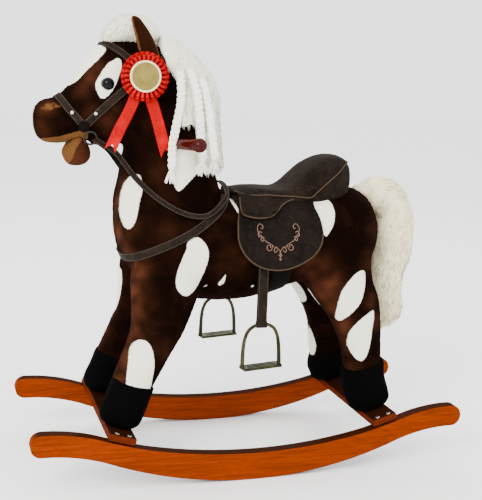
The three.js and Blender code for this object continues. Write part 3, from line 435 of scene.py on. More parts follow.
def points_of(piece):
    """Where the piece's vertices are, in metres."""
    co = np.empty(len(piece.data.vertices) * 3, np.float32)
    piece.data.vertices.foreach_get("co", co)
    return co.reshape(-1, 3).astype(float)


def normals_of(piece):
    """Which way the piece's skin looks at its vertices."""
    ways = np.empty(len(piece.data.vertices) * 3, np.float32)
    piece.data.vertex_normals.foreach_get("vector", ways)
    return ways.reshape(-1, 3).astype(float)


def set_points(piece, co):
    """Moves the piece's vertices to new places, in metres."""
    piece.data.vertices.foreach_set("co", co.astype(np.float32).ravel())
    piece.data.update()


def seam_pull(piece, points, reach):
    """How much a seam through these points pulls a skin in: 1 on the seam, 0 away from it."""
    flat = points_of(piece) / MM
    pull = np.zeros(len(flat))
    for point in points:
        pull = np.maximum(pull, np.exp(-(np.linalg.norm(flat - point, axis=1) / reach) ** 2))
    return pull


def rough(co, size, seed):
    """A smooth random number for each point, with bumps about `size` millimetres across."""
    scale = 1 / (size * MM)
    return np.array([noise.noise(Vector(p) * scale + Vector((seed, seed, seed))) for p in co])


def pushed(piece, *bumps, pull=0.0):
    """Moves a piece's skin out by bumps, each (height, size, seed), and in by pull, in millimetres."""
    co = points_of(piece)
    push = sum(height * rough(co, size, seed) for height, size, seed in bumps) - pull
    set_points(piece, co + normals_of(piece) * push[:, None] * MM)


def mark(piece, name, values):
    """Stores one number at each point, for a material to read."""
    layer = piece.data.attributes.new(name, "FLOAT", "POINT")
    layer.data.foreach_set("value", np.broadcast_to(values, len(piece.data.vertices)).astype(np.float32))


def edge_distance(points, outline):
    """Millimetres from each 2D point to a closed outline, negative inside it."""
    a = np.asarray(outline, float)
    b = np.roll(a, -1, axis=0)
    best = np.full(len(points), 1e9)
    crossings = np.zeros(len(points), int)
    for p, q in zip(a, b):
        d = q - p
        t = np.clip(((points - p) @ d) / (d @ d + 1e-12), 0, 1)
        best = np.minimum(best, np.hypot(*(points - p - t[:, None] * d).T))
        over = (p[1] > points[:, 1]) != (q[1] > points[:, 1])
        with np.errstate(divide="ignore", invalid="ignore"):
            at = p[0] + (points[:, 1] - p[1]) / (q[1] - p[1]) * d[0]
        crossings += over & (points[:, 0] < at)
    return np.where(crossings % 2 == 1, -best, best)


def closed_curve(outline, steps=5):
    """A smooth closed curve through an outline's points."""
    rows = [outline[-2], outline[-1], *outline, outline[0], outline[1]]
    return smoothed(rows, steps)[2 * steps:-2 * steps - 1]


# Cream patches as outlines in (x, z): on the left side, on the right side, and where the two differ.
EYE_PATCH = [(-215, 638), (-209, 635), (-207.5, 627), (-210, 617), (-214, 605), (-219, 593), (-227, 582),
             (-235, 576), (-241, 579), (-246, 589), (-247, 599), (-242, 609), (-235, 621), (-225, 633)]
CHEST_PATCH = [(-182, 466), (-176, 460), (-175, 442), (-180, 420), (-184, 400), (-190, 385), (-196, 381),
               (-202, 386), (-206, 403), (-205, 423), (-202, 441), (-197, 454), (-190, 463)]
LEFT_PATCHES = [
    EYE_PATCH, CHEST_PATCH,
    [(-112, 354), (-111, 364), (-104, 371), (-95, 374), (-86, 369), (-78, 358), (-75.5, 345), (-78, 330),
     (-83, 313), (-90, 298), (-101, 287), (-112, 283), (-122, 288), (-129, 299), (-129, 312), (-125, 326),
     (-118, 340)],
    [(-116, 515), (-129, 492), (-133, 466), (-130, 451), (-122, 441), (-107, 453), (-91, 467), (-75, 478),
     (-70, 500), (-90, 520)],
    [(-53, 293.5), (-57.5, 297), (-55, 303), (-51, 309), (-46.5, 316), (-46, 306), (-48, 296)],
    [(-81, 291), (-78, 294.5), (-73, 297), (-74.5, 292.5)],
    [(-1.5, 289), (-1.5, 293.5), (3, 294), (4, 289)],
    [(-33, 428), (-30, 414), (-24, 404), (-18, 398), (-11, 404), (-15, 424)],
    [(96, 430), (128, 428), (134, 414), (132, 400), (127, 387), (120, 376), (114.5, 372), (107, 382),
     (100, 405)],
    [(143, 284), (154, 299), (166, 311), (178, 317), (187, 314), (188.5, 301), (185, 283), (177, 265),
     (165, 251), (154, 240), (146, 233), (140, 238), (138, 252), (139, 270)],
    [(159, 212), (163, 224), (175, 238), (190, 248), (202, 252), (203, 238), (199, 220), (196, 200),
     (191, 180), (183, 169), (173, 172), (164, 185), (159, 200)],
    [(-199, 196), (-194, 210), (-187, 218), (-179, 220), (-171, 217), (-165, 207), (-162, 195), (-161, 180),
     (-163, 160), (-168, 136), (-196, 128), (-206, 140), (-205, 156), (-203, 173)]]
RIGHT_PATCHES = [
    EYE_PATCH, CHEST_PATCH,
    [(-118, 400), (-98, 392), (-88, 366), (-93, 340), (-108, 324), (-124, 332), (-131, 360), (-128, 388)],
    [(92, 428), (104, 404), (118, 386), (133, 394), (136, 414), (124, 430)],
    [(172, 338), (186, 322), (184, 292), (168, 270), (149, 274), (144, 300), (154, 328)],
    [(140, 214), (152, 208), (163, 176), (171, 148), (168, 118), (148, 116), (138, 150), (136, 186)],
    [(106, 276), (120, 270), (134, 254), (142, 238), (140, 226), (130, 226), (120, 240), (110, 258)]]
INNER_LEFT = [[(104, 280), (114, 272), (130, 244), (133, 232), (124, 228), (110, 250), (98, 270)]]
# outlines in (y, z), for cloth that faces forwards
BLAZE = [(0, 657), (-14, 656), (-26, 650), (-30, 640), (-28.5, 626), (-24.5, 613), (-19.5, 602.5),
         (-11, 595), (0, 593), (11, 595), (19.5, 602.5), (24.5, 613), (28.5, 626), (30, 640), (26, 650),
         (14, 656)]
SHIN_PATCH = [(39, 300), (42, 276), (54, 246), (66, 222), (82, 218), (96, 240), (94, 276), (78, 304),
              (56, 310)]


def patch_distance(co, patches, side=0, axes=(0, 2)):
    """The distance to the nearest patch's edge in millimetres, on one side of the horse or on both."""
    best = np.full(len(co), 60.0)
    flat = co[:, list(axes)] / MM
    for outline in patches:
        curve = closed_curve(outline)
        low, high = curve.min(0) - 15, curve.max(0) + 15
        near = np.all((flat > low) & (flat < high), axis=1)
        if side:
            near &= co[:, 1] * side > 0.0
        if near.any():
            best[near] = np.minimum(best[near], edge_distance(flat[near], curve))
    return best


def plush(name, dark, nap_and_sheen, patch_colour, tint="#8a4a2c", sheen=0.1):
    """Short cut pile: a deep ground colour, a red-brown sheen at grazing angles, brushed blotches,
    red-brown painted sheen where a stored number says so, and cream or tan cloth where the stored distances
    say so. Pile grain is 1.5 mm."""
    material, tree, shader, place = new_material(name, Roughness=0.95, Specular_IOR_Level=0.01,
                                                 Sheen_Weight=sheen, Sheen_Roughness=0.22, Sheen_Tint=tint)
    brushed = add_node(tree, "TexNoise", Vector=place, Scale=26.0, Detail=4.0, Roughness=0.6,
                       Distortion=0.5)
    blotch = add_node(tree, "MapRange", _0=brushed, _1=0.46, _2=0.82, _3=0.0, _4=0.16)
    grain = add_node(tree, "TexNoise", Vector=place, Scale=650.0, Detail=3.0, Roughness=0.7)
    ground = add_node(tree, "MixRGB", _0=blotch, _1=dark, _2=nap_and_sheen)
    # painted sheen: where the stored number says, the red-brown nap colour stands in for lit pile
    painted_sheen = add_node(tree, "Attribute", {"attribute_name": "nap_and_sheen"})
    colour = add_node(tree, "MixRGB", _0=painted_sheen, _1=ground, _2=nap_and_sheen)
    ragged = add_node(tree, "TexNoise", Vector=place, Scale=420.0, Detail=2.0)
    for attribute, cloth in (("tan_edge", "#5c3c20"), ("patch_edge", patch_colour)):
        edge = add_node(tree, "Attribute", {"attribute_name": attribute})
        frayed = add_node(tree, "Math", {"operation": "MULTIPLY_ADD"}, _0=ragged, _1=2.4, _2=edge)
        inside = add_node(tree, "MapRange", _0=frayed, _1=0.9, _2=-0.4)
        colour = add_node(tree, "MixRGB", _0=inside, _1=colour, _2=cloth)
    speckle = add_node(tree, "MapRange", _0=grain, _1=0.3, _2=0.7, _3=0.72, _4=1.0)
    shaded = add_node(tree, "MixRGB", {"blend_type": "MULTIPLY"}, _0=1.0, _1=colour, _2=speckle)
    fluff = add_node(tree, "TexNoise", Vector=place, Scale=230.0, Detail=4.0, Roughness=0.65)
    set_inputs(shader, Base_Color=shaded,
               Normal=add_node(tree, "Bump", Strength=0.55, Distance=0.0016, Height=fluff))
    return material


brown_plush = plush("brown_cut_pile_plush", "#0b0402", "#432416", "#f0f1de")
bm = bmesh.new()
torso = [(x, 0, (low + high) / 2, 90, (high - low) / 2, width) for x, low, high, width in TORSO]
merge(bm, loft_form(torso, power=2.3, count=36))
merge(bm, loft_form(NECK))
merge(bm, loft_form(HEAD))
for side in (-1, 1):
    for leg in (FRONT_LEG, REAR_LEG):
        merge(bm, loft_form([(x, side * y, *rest) for x, y, *rest in leg]))
hide = to_object(bm, "sewn_plush_hide", brown_plush, "brown_plush", ["body_plush", "head_plush"])
applied(hide, *remeshed(4.2, 9))

# the mouth's hollow, wide enough for the jaw to drop in
bm = bmesh.new()
for drop in (0, 5, 10):
    room = loft_form(JAW, grow=1.0)
    bmesh.ops.rotate(room, verts=room.verts, cent=(-262 * MM, 0, 524 * MM),
                     matrix=Matrix.Rotation(-math.radians(drop), 3, "Y"))
    merge(bm, room)
hollow = to_object(bm, "mouth_hollow", brown_plush)
applied(hollow, *remeshed(2.5))
applied(hide, boolean("DIFFERENCE", hollow), *remeshed(3.4, 2))

# seams pull the stuffing in along their lines
SEAMS = [
    [(-211, 0, 420), (-213, 0, 396), (-208, 0, 360), (-198, 0, 330), (-172, 0, 300), (-130, 0, 272),
     (-60, 0, 258), (20, 0, 256), (90, 0, 272), (150, 0, 284), (200, 0, 300), (232, 0, 345), (236, 0, 380),
     (212, 0, 434)],
    [(-186, -50, 330), (-190, -62, 300), (-196, -66, 265), (-190, -78, 225), (-205, -88, 180),
     (-222, -92, 140)],
    [(-186, 50, 330), (-190, 62, 300), (-196, 66, 265), (-190, 78, 225), (-205, 88, 180), (-222, 92, 140)],
    [(-74, -86, 400), (-62, -88, 360), (-58, -88, 320), (-64, -78, 284)],
    [(-74, 86, 400), (-62, 88, 360), (-58, 88, 320), (-64, 78, 284)]]
along_seams = [point for seam in SEAMS for point in smoothed(seam, 12)]
pushed(hide, (1.1, 42, 3.0), pull=2.0 * seam_pull(hide, along_seams, 5.5))
applied(hide, ("SUBSURF", {"levels": 1, "render_levels": 1}))
pushed(hide, (0.45, 5, 11.0), (0.3, 2.6, 19.0))
co = points_of(hide)
flat = co / MM
out = normals_of(hide)
patches = np.minimum(patch_distance(co, LEFT_PATCHES, -1), patch_distance(co, RIGHT_PATCHES, 1))
patches = np.where((np.abs(flat[:, 1]) < 30) & (flat[:, 2] < 250), 60, patches)
blaze = patch_distance(co, [BLAZE], axes=(1, 2))
patches = np.where(flat[:, 0] < -205, np.minimum(patches, blaze), patches)
shin = patch_distance(co, [SHIN_PATCH], axes=(1, 2))
patches = np.where((flat[:, 0] < -150) & (out[:, 0] < 0.1), np.minimum(patches, shin), patches)
inner = patch_distance(co, INNER_LEFT, -1)
inner = np.where((flat[:, 1] < -20) & (flat[:, 1] > -60) & (out[:, 1] > -0.2), inner, 60)
mark(hide, "patch_edge", np.minimum(patches, inner))
lip = np.interp(flat[:, 0], [-330, -322, -296.5, -271.7, -262], [514, 515.4, 519.5, 527.5, 531])
# tan cloth lines the lips; on top of the muzzle the tan is a painted highlight
highlight_spread = np.linalg.norm((np.abs(flat) - (311, 20, 561)) / (12, 12, 8), axis=1)
wear_and_highlight = 1.6 * rough(co, 7, 31.0) - 1.9 + 1.3 * highlight_spread ** 2
lips = np.where(flat[:, 0] < -255, flat[:, 2] - lip, 60)
mark(hide, "tan_edge", np.minimum(lips, np.where(flat[:, 0] < -290, wear_and_highlight, 60)))

# painted sheen: red-brown light painted where the pile would catch it, the same on both sides: (x, y, z,
# reach, strength)
PAINTED_SHEEN_SPOTS = [
    (-188, 64, 322, 18, 0.95), (-193, 72, 290, 19, 0.9), (-195, 78, 258, 19, 0.85),
    (-198, 84, 226, 19, 0.75), (-208, 90, 190, 19, 0.7), (-220, 92, 152, 19, 0.7),
    (-172, 84, 262, 18, 0.2), (-150, 92, 200, 18, 0.2), (104, 80, 320, 22, 0.5), (122, 86, 288, 22, 0.7),
    (134, 92, 256, 20, 0.65), (146, 93, 222, 18, 0.65), (154, 94, 190, 16, 0.6), (164, 98, 150, 16, 0.5),
    (196, 96, 268, 12, 0.4), (206, 100, 232, 12, 0.4), (-208, 22, 372, 17, 1.0),
    (-212, 20, 415, 14, 1.0), (-206, 40, 345, 16, 0.9), (-204, 32, 440, 14, 0.9),
    (-186, 44, 380, 18, 0.5), (-150, 84, 380, 24, 0.15), (-230, 42, 545, 15, 0.3),
    (-224, 42, 533, 15, 0.45), (-250, 34, 556, 13, 0.25), (-324, 22, 530, 14, 0.35),
    (-318, 20, 560, 13, 0.5), (-246, 33, 612, 17, 0.55), (-262, 30, 590, 13, 0.35),
    (-215, 44, 560, 12, 0.2), (-180, 52, 560, 22, 0.15), (-150, 56, 470, 26, 0.12),
    (60, 90, 340, 20, 0.3), (212, 70, 380, 18, 0.2), (200, 84, 330, 15, 0.25), (-30, 84, 340, 24, 0.2)]
nap_and_sheen = np.zeros(len(co))
mirrored = np.stack([flat[:, 0], np.abs(flat[:, 1]), flat[:, 2]], 1)
for x, y, z, reach, strength in PAINTED_SHEEN_SPOTS:
    gap = np.linalg.norm(mirrored - (x, y, z), axis=1)
    nap_and_sheen = np.maximum(nap_and_sheen, strength * np.exp(-(gap / reach) ** 2 * 0.7))
# stored as painted sheen, broken up a little by noise
mark(hide, "nap_and_sheen", np.clip(nap_and_sheen * (1 + 0.9 * rough(co, 18, 29.0)), 0, 1))

# ---------------------------------------------------------------- hoof socks
# Black plush sleeves sewn over the ends of the legs, stuffed flat underneath where
# the bolts pull them down on the crossbars.
# rows of height above the crossbar, shift along it, half depth and half width
FRONT_SOCK = [(0.5, 1, 25, 26), (7, 0, 31, 31), (20, -1, 34, 33.6), (36, -2.5, 33.6, 33.6),
              (52, -4, 33.2, 33.6), (64, -5, 33, 33.2), (69, -5, 32.2, 32.2)]
REAR_SOCK = [(0.5, 1, 27, 22), (7, 0.5, 34, 26.5), (20, -0.5, 36.5, 31), (36, -1.5, 37, 33),
             (52, -1, 36.5, 34), (70, 4, 36.4, 33.8), (76, 5, 35, 32.8)]
SHORT_SHARE = 0.68                          # the right rear sock is sewn this much lower
SHORT_SOCK = [(height * SHORT_SHARE, *rest) for height, *rest in REAR_SOCK]
SOCK_PLACE = 84                             # from the middle to a sock's foot
black_plush = plush("black_cut_pile_plush", "#050505", "#0c0c0d", "#0c0c0d", "#34363b", 0.06)


def mark_plain(piece, tan=60.0, nap_and_sheen=0.0):
    """Marks a piece of plush without patches: how far the tan cloth is, and how much painted sheen it gets.
    """
    mark(piece, "patch_edge", 60.0)
    mark(piece, "tan_edge", tan)
    mark(piece, "nap_and_sheen", nap_and_sheen)


for end, word, rows in ((-1, "front", FRONT_SOCK), (1, "rear", REAR_SOCK)):
    for side, y_sign in SIDES:
        stations = []
        for height, shift, depth, width in SHORT_SOCK if (word, side) == ("rear", "right") else rows:
            x, z = on_bar(end, shift, height)
            y = y_sign * (SOCK_PLACE - height * 0.06)
            stations.append((x, y, z, end * math.degrees(SLOPE), depth, width))
        sock = to_object(loft_form(stations, power=2.3, grow=-0.4), f"hoof_sock_cover_{word}_{side}",
                         black_plush, "black_plush", [f"hoof_sock_{word}_{side}"])
        applied(sock, *remeshed(2.4, 5))
        pushed(sock, (0.9, 16, 5.0), (0.5, 4, 7.0))
        mark_plain(sock)

# ---------------------------------------------------------------- lower jaw
# A small stuffed ball of brown plush with a tan lining in front. It hangs from a
# hinge in the throat and drops when the horse talks.
jaw = to_object(loft_form(JAW, grow=-0.3), "jaw_cover", brown_plush, "tan_plush", ["lower_jaw"], "jaw")
applied(jaw, *remeshed(1.8, 5))
pushed(jaw, (0.5, 4, 13.0), (0.6, 14, 2.0))
flat = points_of(jaw) / MM
lining = flat[:, 0] - np.interp(flat[:, 2], [470, 485, 500, 515], [-284, -276, -272, -262])
# painted sheen: more red-brown where the jaw faces down, less where it faces up
mark_plain(jaw, np.maximum(lining, -4), np.clip(0.7 - normals_of(jaw)[:, 2] * 0.4, 0, 1))

# ---------------------------------------------------------------- eyes
# Black moulded safety eyes: a glossy dome with a shallow collar, pushed through
# the plush and locked from inside by a washer.
eye_plastic, tree, shader, place = new_material("black_moulded_acrylic", Base_Color="#020203",
                                                Roughness=0.04, Specular_IOR_Level=0.12)
haze = add_node(tree, "TexNoise", Vector=place, Scale=300.0, Detail=2.0)
set_inputs(shader, Normal=add_node(tree, "Bump", Strength=0.03, Distance=0.0003, Height=haze))
EYE = (-228, 43.5, 599)
EYE_PROFILE = [(0, -12), (2.0, -12), (2.0, -2.2), (9.8, -2.2), (10.5, -1.4), (10.6, -0.2), (10.1, 0.7),
               (9.6, 0.8), (9.5, 1.6), (9.1, 3.2), (8.1, 5.0), (6.5, 6.7), (4.4, 8.0), (2.1, 8.7),
               (0.0, 8.9)]


def spun(profile, steps, ring=False):
    """A form turned from a profile of (radius, height); the profile of a ring closes on itself."""
    bm = bmesh.new()
    line = [bm.verts.new((r * MM, 0, h * MM)) for r, h in profile]
    chain = [bm.edges.new(pair) for pair in zip(line, line[1:])]
    if ring:
        chain.append(bm.edges.new((line[-1], line[0])))
    bmesh.ops.spin(bm, geom=line + chain, axis=(0, 0, 1), cent=(0, 0, 0), steps=steps, angle=2 * math.pi,
                   use_merge=True)
    bmesh.ops.remove_doubles(bm, verts=bm.verts, dist=0.02 * MM)
    return bm


def standing(place, way):
    """The matrix that takes a form from the origin to a place in metres and turns its top a way."""
    return Matrix.Translation(place) @ way.to_track_quat("Z", "Y").to_matrix().to_4x4()


for side, y_sign in SIDES:
    bm = spun(EYE_PROFILE, 36)
    place = Vector((EYE[0], y_sign * EYE[1], EYE[2])) * MM
    bmesh.ops.transform(bm, verts=bm.verts, matrix=standing(place, Vector((-0.1, y_sign, 0.12))))
    to_object(bm, f"eye_dome_{side}", eye_plastic, "eye", [f"eye_{side}"])

# ---------------------------------------------------------------- ears
# Pointed plush ears sewn upright on the poll, brown behind and lined with tan in
# front, the two cloths meeting in a seam round the rim.
EAR = [(-165, 35, 645, -14, 17, 9), (-170, 36, 660, -14, 16, 9), (-177, 37, 677, -12, 13.5, 8),
       (-184, 38, 690, -10, 10, 6), (-187.5, 38, 697, -8, 7, 4.5), (-189, 38, 700, -8, 3, 2)]
EAR_CUP = [(-168, 43, 640, -14, 10, 5.5), (-173, 44, 660, -14, 9.5, 5.5), (-179, 44, 676, -12, 8, 4.5),
           (-185, 43, 688, -10, 4.5, 3), (-188, 43, 694, -8, 1.5, 1)]
for side, y_sign in SIDES:
    ear, cup = (loft_form([(x, y_sign * y, *rest) for x, y, *rest in rows], steps=4)
                for rows in (EAR, EAR_CUP))
    ear = to_object(ear, f"ear_cover_{side}", brown_plush, "brown_plush", [f"ear_{side}"])
    cup = to_object(cup, "cup", brown_plush)
    applied(ear, boolean("DIFFERENCE", cup), *remeshed(1.1, 4))
    pushed(ear, (0.35, 3, 17.0))
    flat = points_of(ear) / MM
    middle, reach = (np.interp(flat[:, 2], [645, 660, 677, 690, 697], row)
                     for row in ([-165, -170, -177, -184, -187.5], [17, 16, 13.5, 10, 7]))
    rim = 0.74 * reach - np.abs(flat[:, 0] - middle)
    mark_plain(ear, rim - 0.8, 0.28)

# ---------------------------------------------------------------- handles
# Turned beech handles with ball ends, one on each side of the neck, stained dark
# red-brown and glossed. They taper to the neck and are glued into the post.
BALL_RADIUS = 10.75
handle_wood = wood("glossed_turned_beech", "#3a0c07", "#260603", "#45150e", 0.3, 5.0, "Y", 0.2, 0.03)
for side, y_sign in SIDES:
    root, tip = Vector((-131.5, y_sign * 8, 509.5)), Vector((-108.5, y_sign * 131, 516.5))
    reach = (tip - root).length
    profile = [(0, 0), (6, 0), (6, 42), (7.5, 42.5), (7.6, 55), (7.9, 72), (8.3, 90), (8.6, reach - 20),
               (8.5, reach - 12), (7.6, reach - 9.6), (7.3, reach - 8.6)]
    for turn in range(45, 181, 9):
        profile.append((BALL_RADIUS * math.sin(math.radians(turn)),
                        reach - BALL_RADIUS * math.cos(math.radians(turn))))
    bm = spun(profile, 40)
    bmesh.ops.transform(bm, verts=bm.verts, matrix=standing(root * MM, tip - root))
    to_object(bm, f"handle_grip_{side}", handle_wood, "handle_wood", [f"handle_{side}"])

# ---------------------------------------------------------------- mane, forelock and tail
# Thick cream long-pile plush: a panel down the crest, a rolled topknot between the
# ears, and a full tail on a stuffed dock. The pile stands in soft clumps.
def long_pile(name, deep, pale):
    """Long soft pile: pale clumps with deeper partings, about 17 mm apart, and a fine fibre bump."""
    material, tree, shader, place = new_material(name, Roughness=0.95, Specular_IOR_Level=0.05)
    combed = add_node(tree, "Mapping", _3=(1, 1, 0.3), _0=place)
    clumps = add_node(tree, "TexNoise", Vector=combed, Scale=60.0, Detail=4.0, Roughness=0.5,
                      Distortion=0.4)
    tones = add_node(tree, "ValToRGB", ramp=((0.30, deep), (0.60, pale)), _0=clumps)
    fibres = add_node(tree, "TexNoise", Vector=combed, Scale=420.0, Detail=4.0, Roughness=0.6)
    set_inputs(shader, Base_Color=tones,
               Normal=add_node(tree, "Bump", Strength=0.4, Distance=0.0012, Height=fibres))
    return material


cream_fur = long_pile("cream_long_pile_plush", "#d3d2be", "#e6e6d4")
tail_fur = long_pile("ivory_long_pile_plush", "#d5cba7", "#eae1be")


def tufted(piece, number, length, spread, flow, seed, lift):
    """Adds small pointed tufts over a piece, combed along `flow` and leaning outwards by `lift`."""
    rng = np.random.default_rng(seed)
    mesh = piece.data
    mesh.calc_loop_triangles()
    co = points_of(piece)
    corners = np.empty(len(mesh.loop_triangles) * 3, np.int32)
    mesh.loop_triangles.foreach_get("vertices", corners)
    a, b, c = (co[corners.reshape(-1, 3)[:, k]] for k in range(3))
    face = np.cross(b - a, c - a)
    area = np.linalg.norm(face, axis=1)
    pick = rng.choice(len(area), number, p=area / area.sum())
    u, v = rng.random(number), rng.random(number)
    u, v = np.where(u + v > 1, 1 - u, u), np.where(u + v > 1, 1 - v, v)
    at = a[pick] + (b - a)[pick] * u[:, None] + (c - a)[pick] * v[:, None]
    out = face[pick] / area[pick][:, None]
    bm = bmesh.new()
    bm.from_mesh(mesh)
    batch = bmesh.new()
    for i, (p, n, wild, size) in enumerate(zip(at, out, rng.normal(0, spread, (number, 3)),
                                               rng.uniform(0.6, 1.15, number))):
        lean = Vector(flow(p / MM)).normalized() + Vector(n) * lift + Vector(wild)
        tall = length * size * MM
        bmesh.ops.create_cone(batch, cap_ends=True, segments=3, radius1=tall * 0.11, radius2=0.0, depth=tall,
                              matrix=standing(Vector(p) + lean.normalized() * tall * 0.40, lean))
        if i % 120 == 119 or i == number - 1:
            merge(bm, batch)
            batch = bmesh.new()
    batch.free()
    for f in bm.faces:
        f.smooth = True
    bm.to_mesh(mesh)
    bm.free()


def prism(name, outline, y_low, y_high, material):
    """A solid with an outline in (x, z), between two planes across the horse, for trimming a piece."""
    bm = bmesh.new()
    bm.faces.new([bm.verts.new((x * MM, y_low * MM, z * MM)) for x, z in outline])
    drawn_out(bm, (0, y_high - y_low, 0))
    return to_object(bm, name, material)


MANE = [(-147, 651), (-142, 638), (-138, 628), (-127, 612), (-120, 590), (-119, 565), (-117, 538),
        (-95, 541), (-90, 500), (-79, 470), (-42, 476), (-14, 520), (-14, 600), (-60, 640), (-100, 664),
        (-124, 678), (-146, 682)]
crest = [(x, y, z, tilt, depth + 18.5, width + 8.0) for x, y, z, tilt, depth, width in NECK]
mane = to_object(loft_form(crest + [(-143, 0, 676, 0, 20, 24)]), "mane_panel", cream_fur, "cream_plush",
                 ["mane"])
trim = prism("trim", closed_curve(MANE, 3), -120, 120, cream_fur)
applied(mane, *remeshed(3), boolean("INTERSECT", trim), *remeshed(2.8, 6))
pushed(mane, (1.8, 24, 1.0), (0.7, 9, 4.0), (0.25, 4, 8.0))
tufted(mane, 4600, 8.5, 0.13, lambda p: (0.3, 0.0, -1.0), 3, 0.08)

FORELOCK = [(-230, 0, 666, 90, 7, 10), (-220, 0, 674, 90, 17, 21), (-203, 0, 681.5, 90, 22, 27),
            (-184, 0, 681.5, 90, 23, 28), (-166, 0, 680, 90, 21, 26), (-152, 0, 677, 90, 14, 20),
            (-144, 0, 676, 90, 6, 10)]
forelock = to_object(loft_form(FORELOCK, grow=-0.8), "forelock_roll", cream_fur, "cream_plush",
                     ["forelock"])
applied(forelock, *remeshed(2.2, 5))
pushed(forelock, (1.6, 24, 1.0), (0.8, 9, 4.0), (0.3, 4, 8.0))
tufted(forelock, 1700, 6, 0.18, lambda p: (-0.6, 0.0, -0.3), 5, 0.12)

TAIL = [(196, 0, 437, 90, 6, 6), (206, 0, 437, 90, 10, 10), (218, 0, 437, 90, 16, 16),
        (230, 0, 432.5, 90, 25.5, 21), (242, 0, 429.5, 88, 30, 24), (256, 0, 422, 76, 34, 29),
        (266, 0, 409, 50, 35, 33), (273.5, 0, 387, 20, 37.5, 35), (275, 0, 360, 4, 38, 36),
        (272.5, 0, 328, -5, 36, 35), (267.5, 0, 296, -8, 31.5, 32), (268.5, 0, 266, -4, 28.5, 29),
        (274, 0, 238, 6, 28, 28), (274, 0, 216, 10, 26, 25), (270, 0, 200, 14, 14, 15)]
tail = to_object(loft_form(TAIL, power=2.0, grow=-1.0), "tail_fur", tail_fur, "cream_plush", ["tail"],
                 "tail")
applied(tail, *remeshed(2.8, 5))
pushed(tail, (2.0, 24, 1.0), (0.8, 9, 4.0), (0.3, 4, 8.0))
tufted(tail, 3400, 9, 0.08, lambda p: (1.0, 0.0, -0.2) if p[2] > 425 else (0.0, 0.0, -1.0), 7, 0.04)

# ---------------------------------------------------------------- braids
# Three plaits of thick white yarn on each side of the mane, bound near the ends,
# the loose yarn spread below the binding.


def mottled(name, grain, stops, bump=(), **inputs):
    """A material that wavers between two tones with one noise; bump is how strongly and how deep,
    in metres, the same noise roughens it."""
    material, tree, shader, place = new_material(name, **inputs)
    waver = add_node(tree, "TexNoise", Vector=place, **grain)
    set_inputs(shader, Base_Color=add_node(tree, "ValToRGB", ramp=stops, _0=waver))
    if bump:
        set_inputs(shader, Normal=add_node(tree, "Bump", Strength=bump[0], Distance=bump[1], Height=waver))
    return material


yarn = mottled("white_acrylic_yarn", {"Scale": 330.0, "Detail": 3.0, "Roughness": 0.6},
               ((0.3, "#dcd9ca"), (0.6, "#fbfaf3")), (0.6, 0.0008),
               Roughness=0.85, Specular_IOR_Level=0.15, Sheen_Weight=0.2)
BRAIDS = {
    "front": [(-122, 58, 622), (-120, 60, 580), (-126.5, 61, 541), (-132, 64, 512), (-133, 68, 480)],
    "middle": [(-107, 60, 624), (-97, 65, 590), (-92, 66, 556), (-89, 67, 520), (-86, 69, 492)],
    "rear": [(-88, 57, 611), (-78, 61, 574), (-71, 64, 528), (-66, 67, 494)]}


def tube(bm, points, radius, count=8, closed=False):
    """A round tube along points in millimetres; radius is one number or one for each point."""
    points = [Vector(p) for p in points]
    radii = radius if hasattr(radius, "__len__") else [radius] * len(points)
    frames = []
    side = None
    for i, p in enumerate(points):
        ahead = points[(i + 1) % len(points)] if closed or i < len(points) - 1 else p
        behind = points[i - 1] if closed or i else p
        along = (ahead - behind).normalized()
        side = side or along.orthogonal()
        side = (side - along * side.dot(along)).normalized()
        frames.append((p, side * radii[i], along.cross(side) * radii[i]))
    sweep(bm, frames, count, 2.0, closed)


STRAND_RADIUS = 3.25
STRAND_SWING = 3.7                          # how far a strand weaves forwards and back
STRAND_DEPTH = 1.8                          # and in and out
PLAIT_PITCH = 25
LOOSE_ENDS = 26
rng = np.random.default_rng(21)
for name, run in BRAIDS.items():
    for side, y_sign in SIDES:
        path = smoothed([(x, y_sign * (y - 0.8), z) for x, y, z in run], 14)
        bm = bmesh.new()
        total = np.concatenate([[0], np.cumsum(np.linalg.norm(np.diff(path, axis=0), axis=1))])
        for strand_number in range(3):
            phase = 2 * math.pi * (total / PLAIT_PITCH + strand_number / 3)
            weave = path.copy()
            weave[:, 0] += STRAND_SWING * np.sin(phase)
            weave[:, 1] += STRAND_DEPTH * np.sin(2 * phase)
            tube(bm, weave, STRAND_RADIUS, 10)
        end = Vector(path[-1])
        knot = [end + Vector(p) for p in ((0, 0, 1.5), (-0.6, 0, -2), (-1.2, 0, -5.5))]
        tube(bm, knot, [4.6, 5.4, 4.4], 12)
        for _ in range(LOOSE_ENDS):
            spread = Vector((rng.normal(0, 3.4), rng.normal(0, 2.6) + y_sign * 1.0, 0))
            down = rng.uniform(17, 27)
            points = [end + Vector((-1, 0, -4)), end + spread * 0.7 + Vector((-2, y_sign, -down * 0.5)),
                      end + spread * 1.7 + Vector((-3 + rng.normal(0, 1.5), y_sign * 2, -down))]
            tube(bm, smoothed(points, 3), [1.3, 1.4, 1.4, 1.3, 1.2, 1.0, 0.6], 5)
        to_object(bm, f"braid_plait_{name}_{side}", yarn, "yarn", [f"braid_{name}_{side}"])

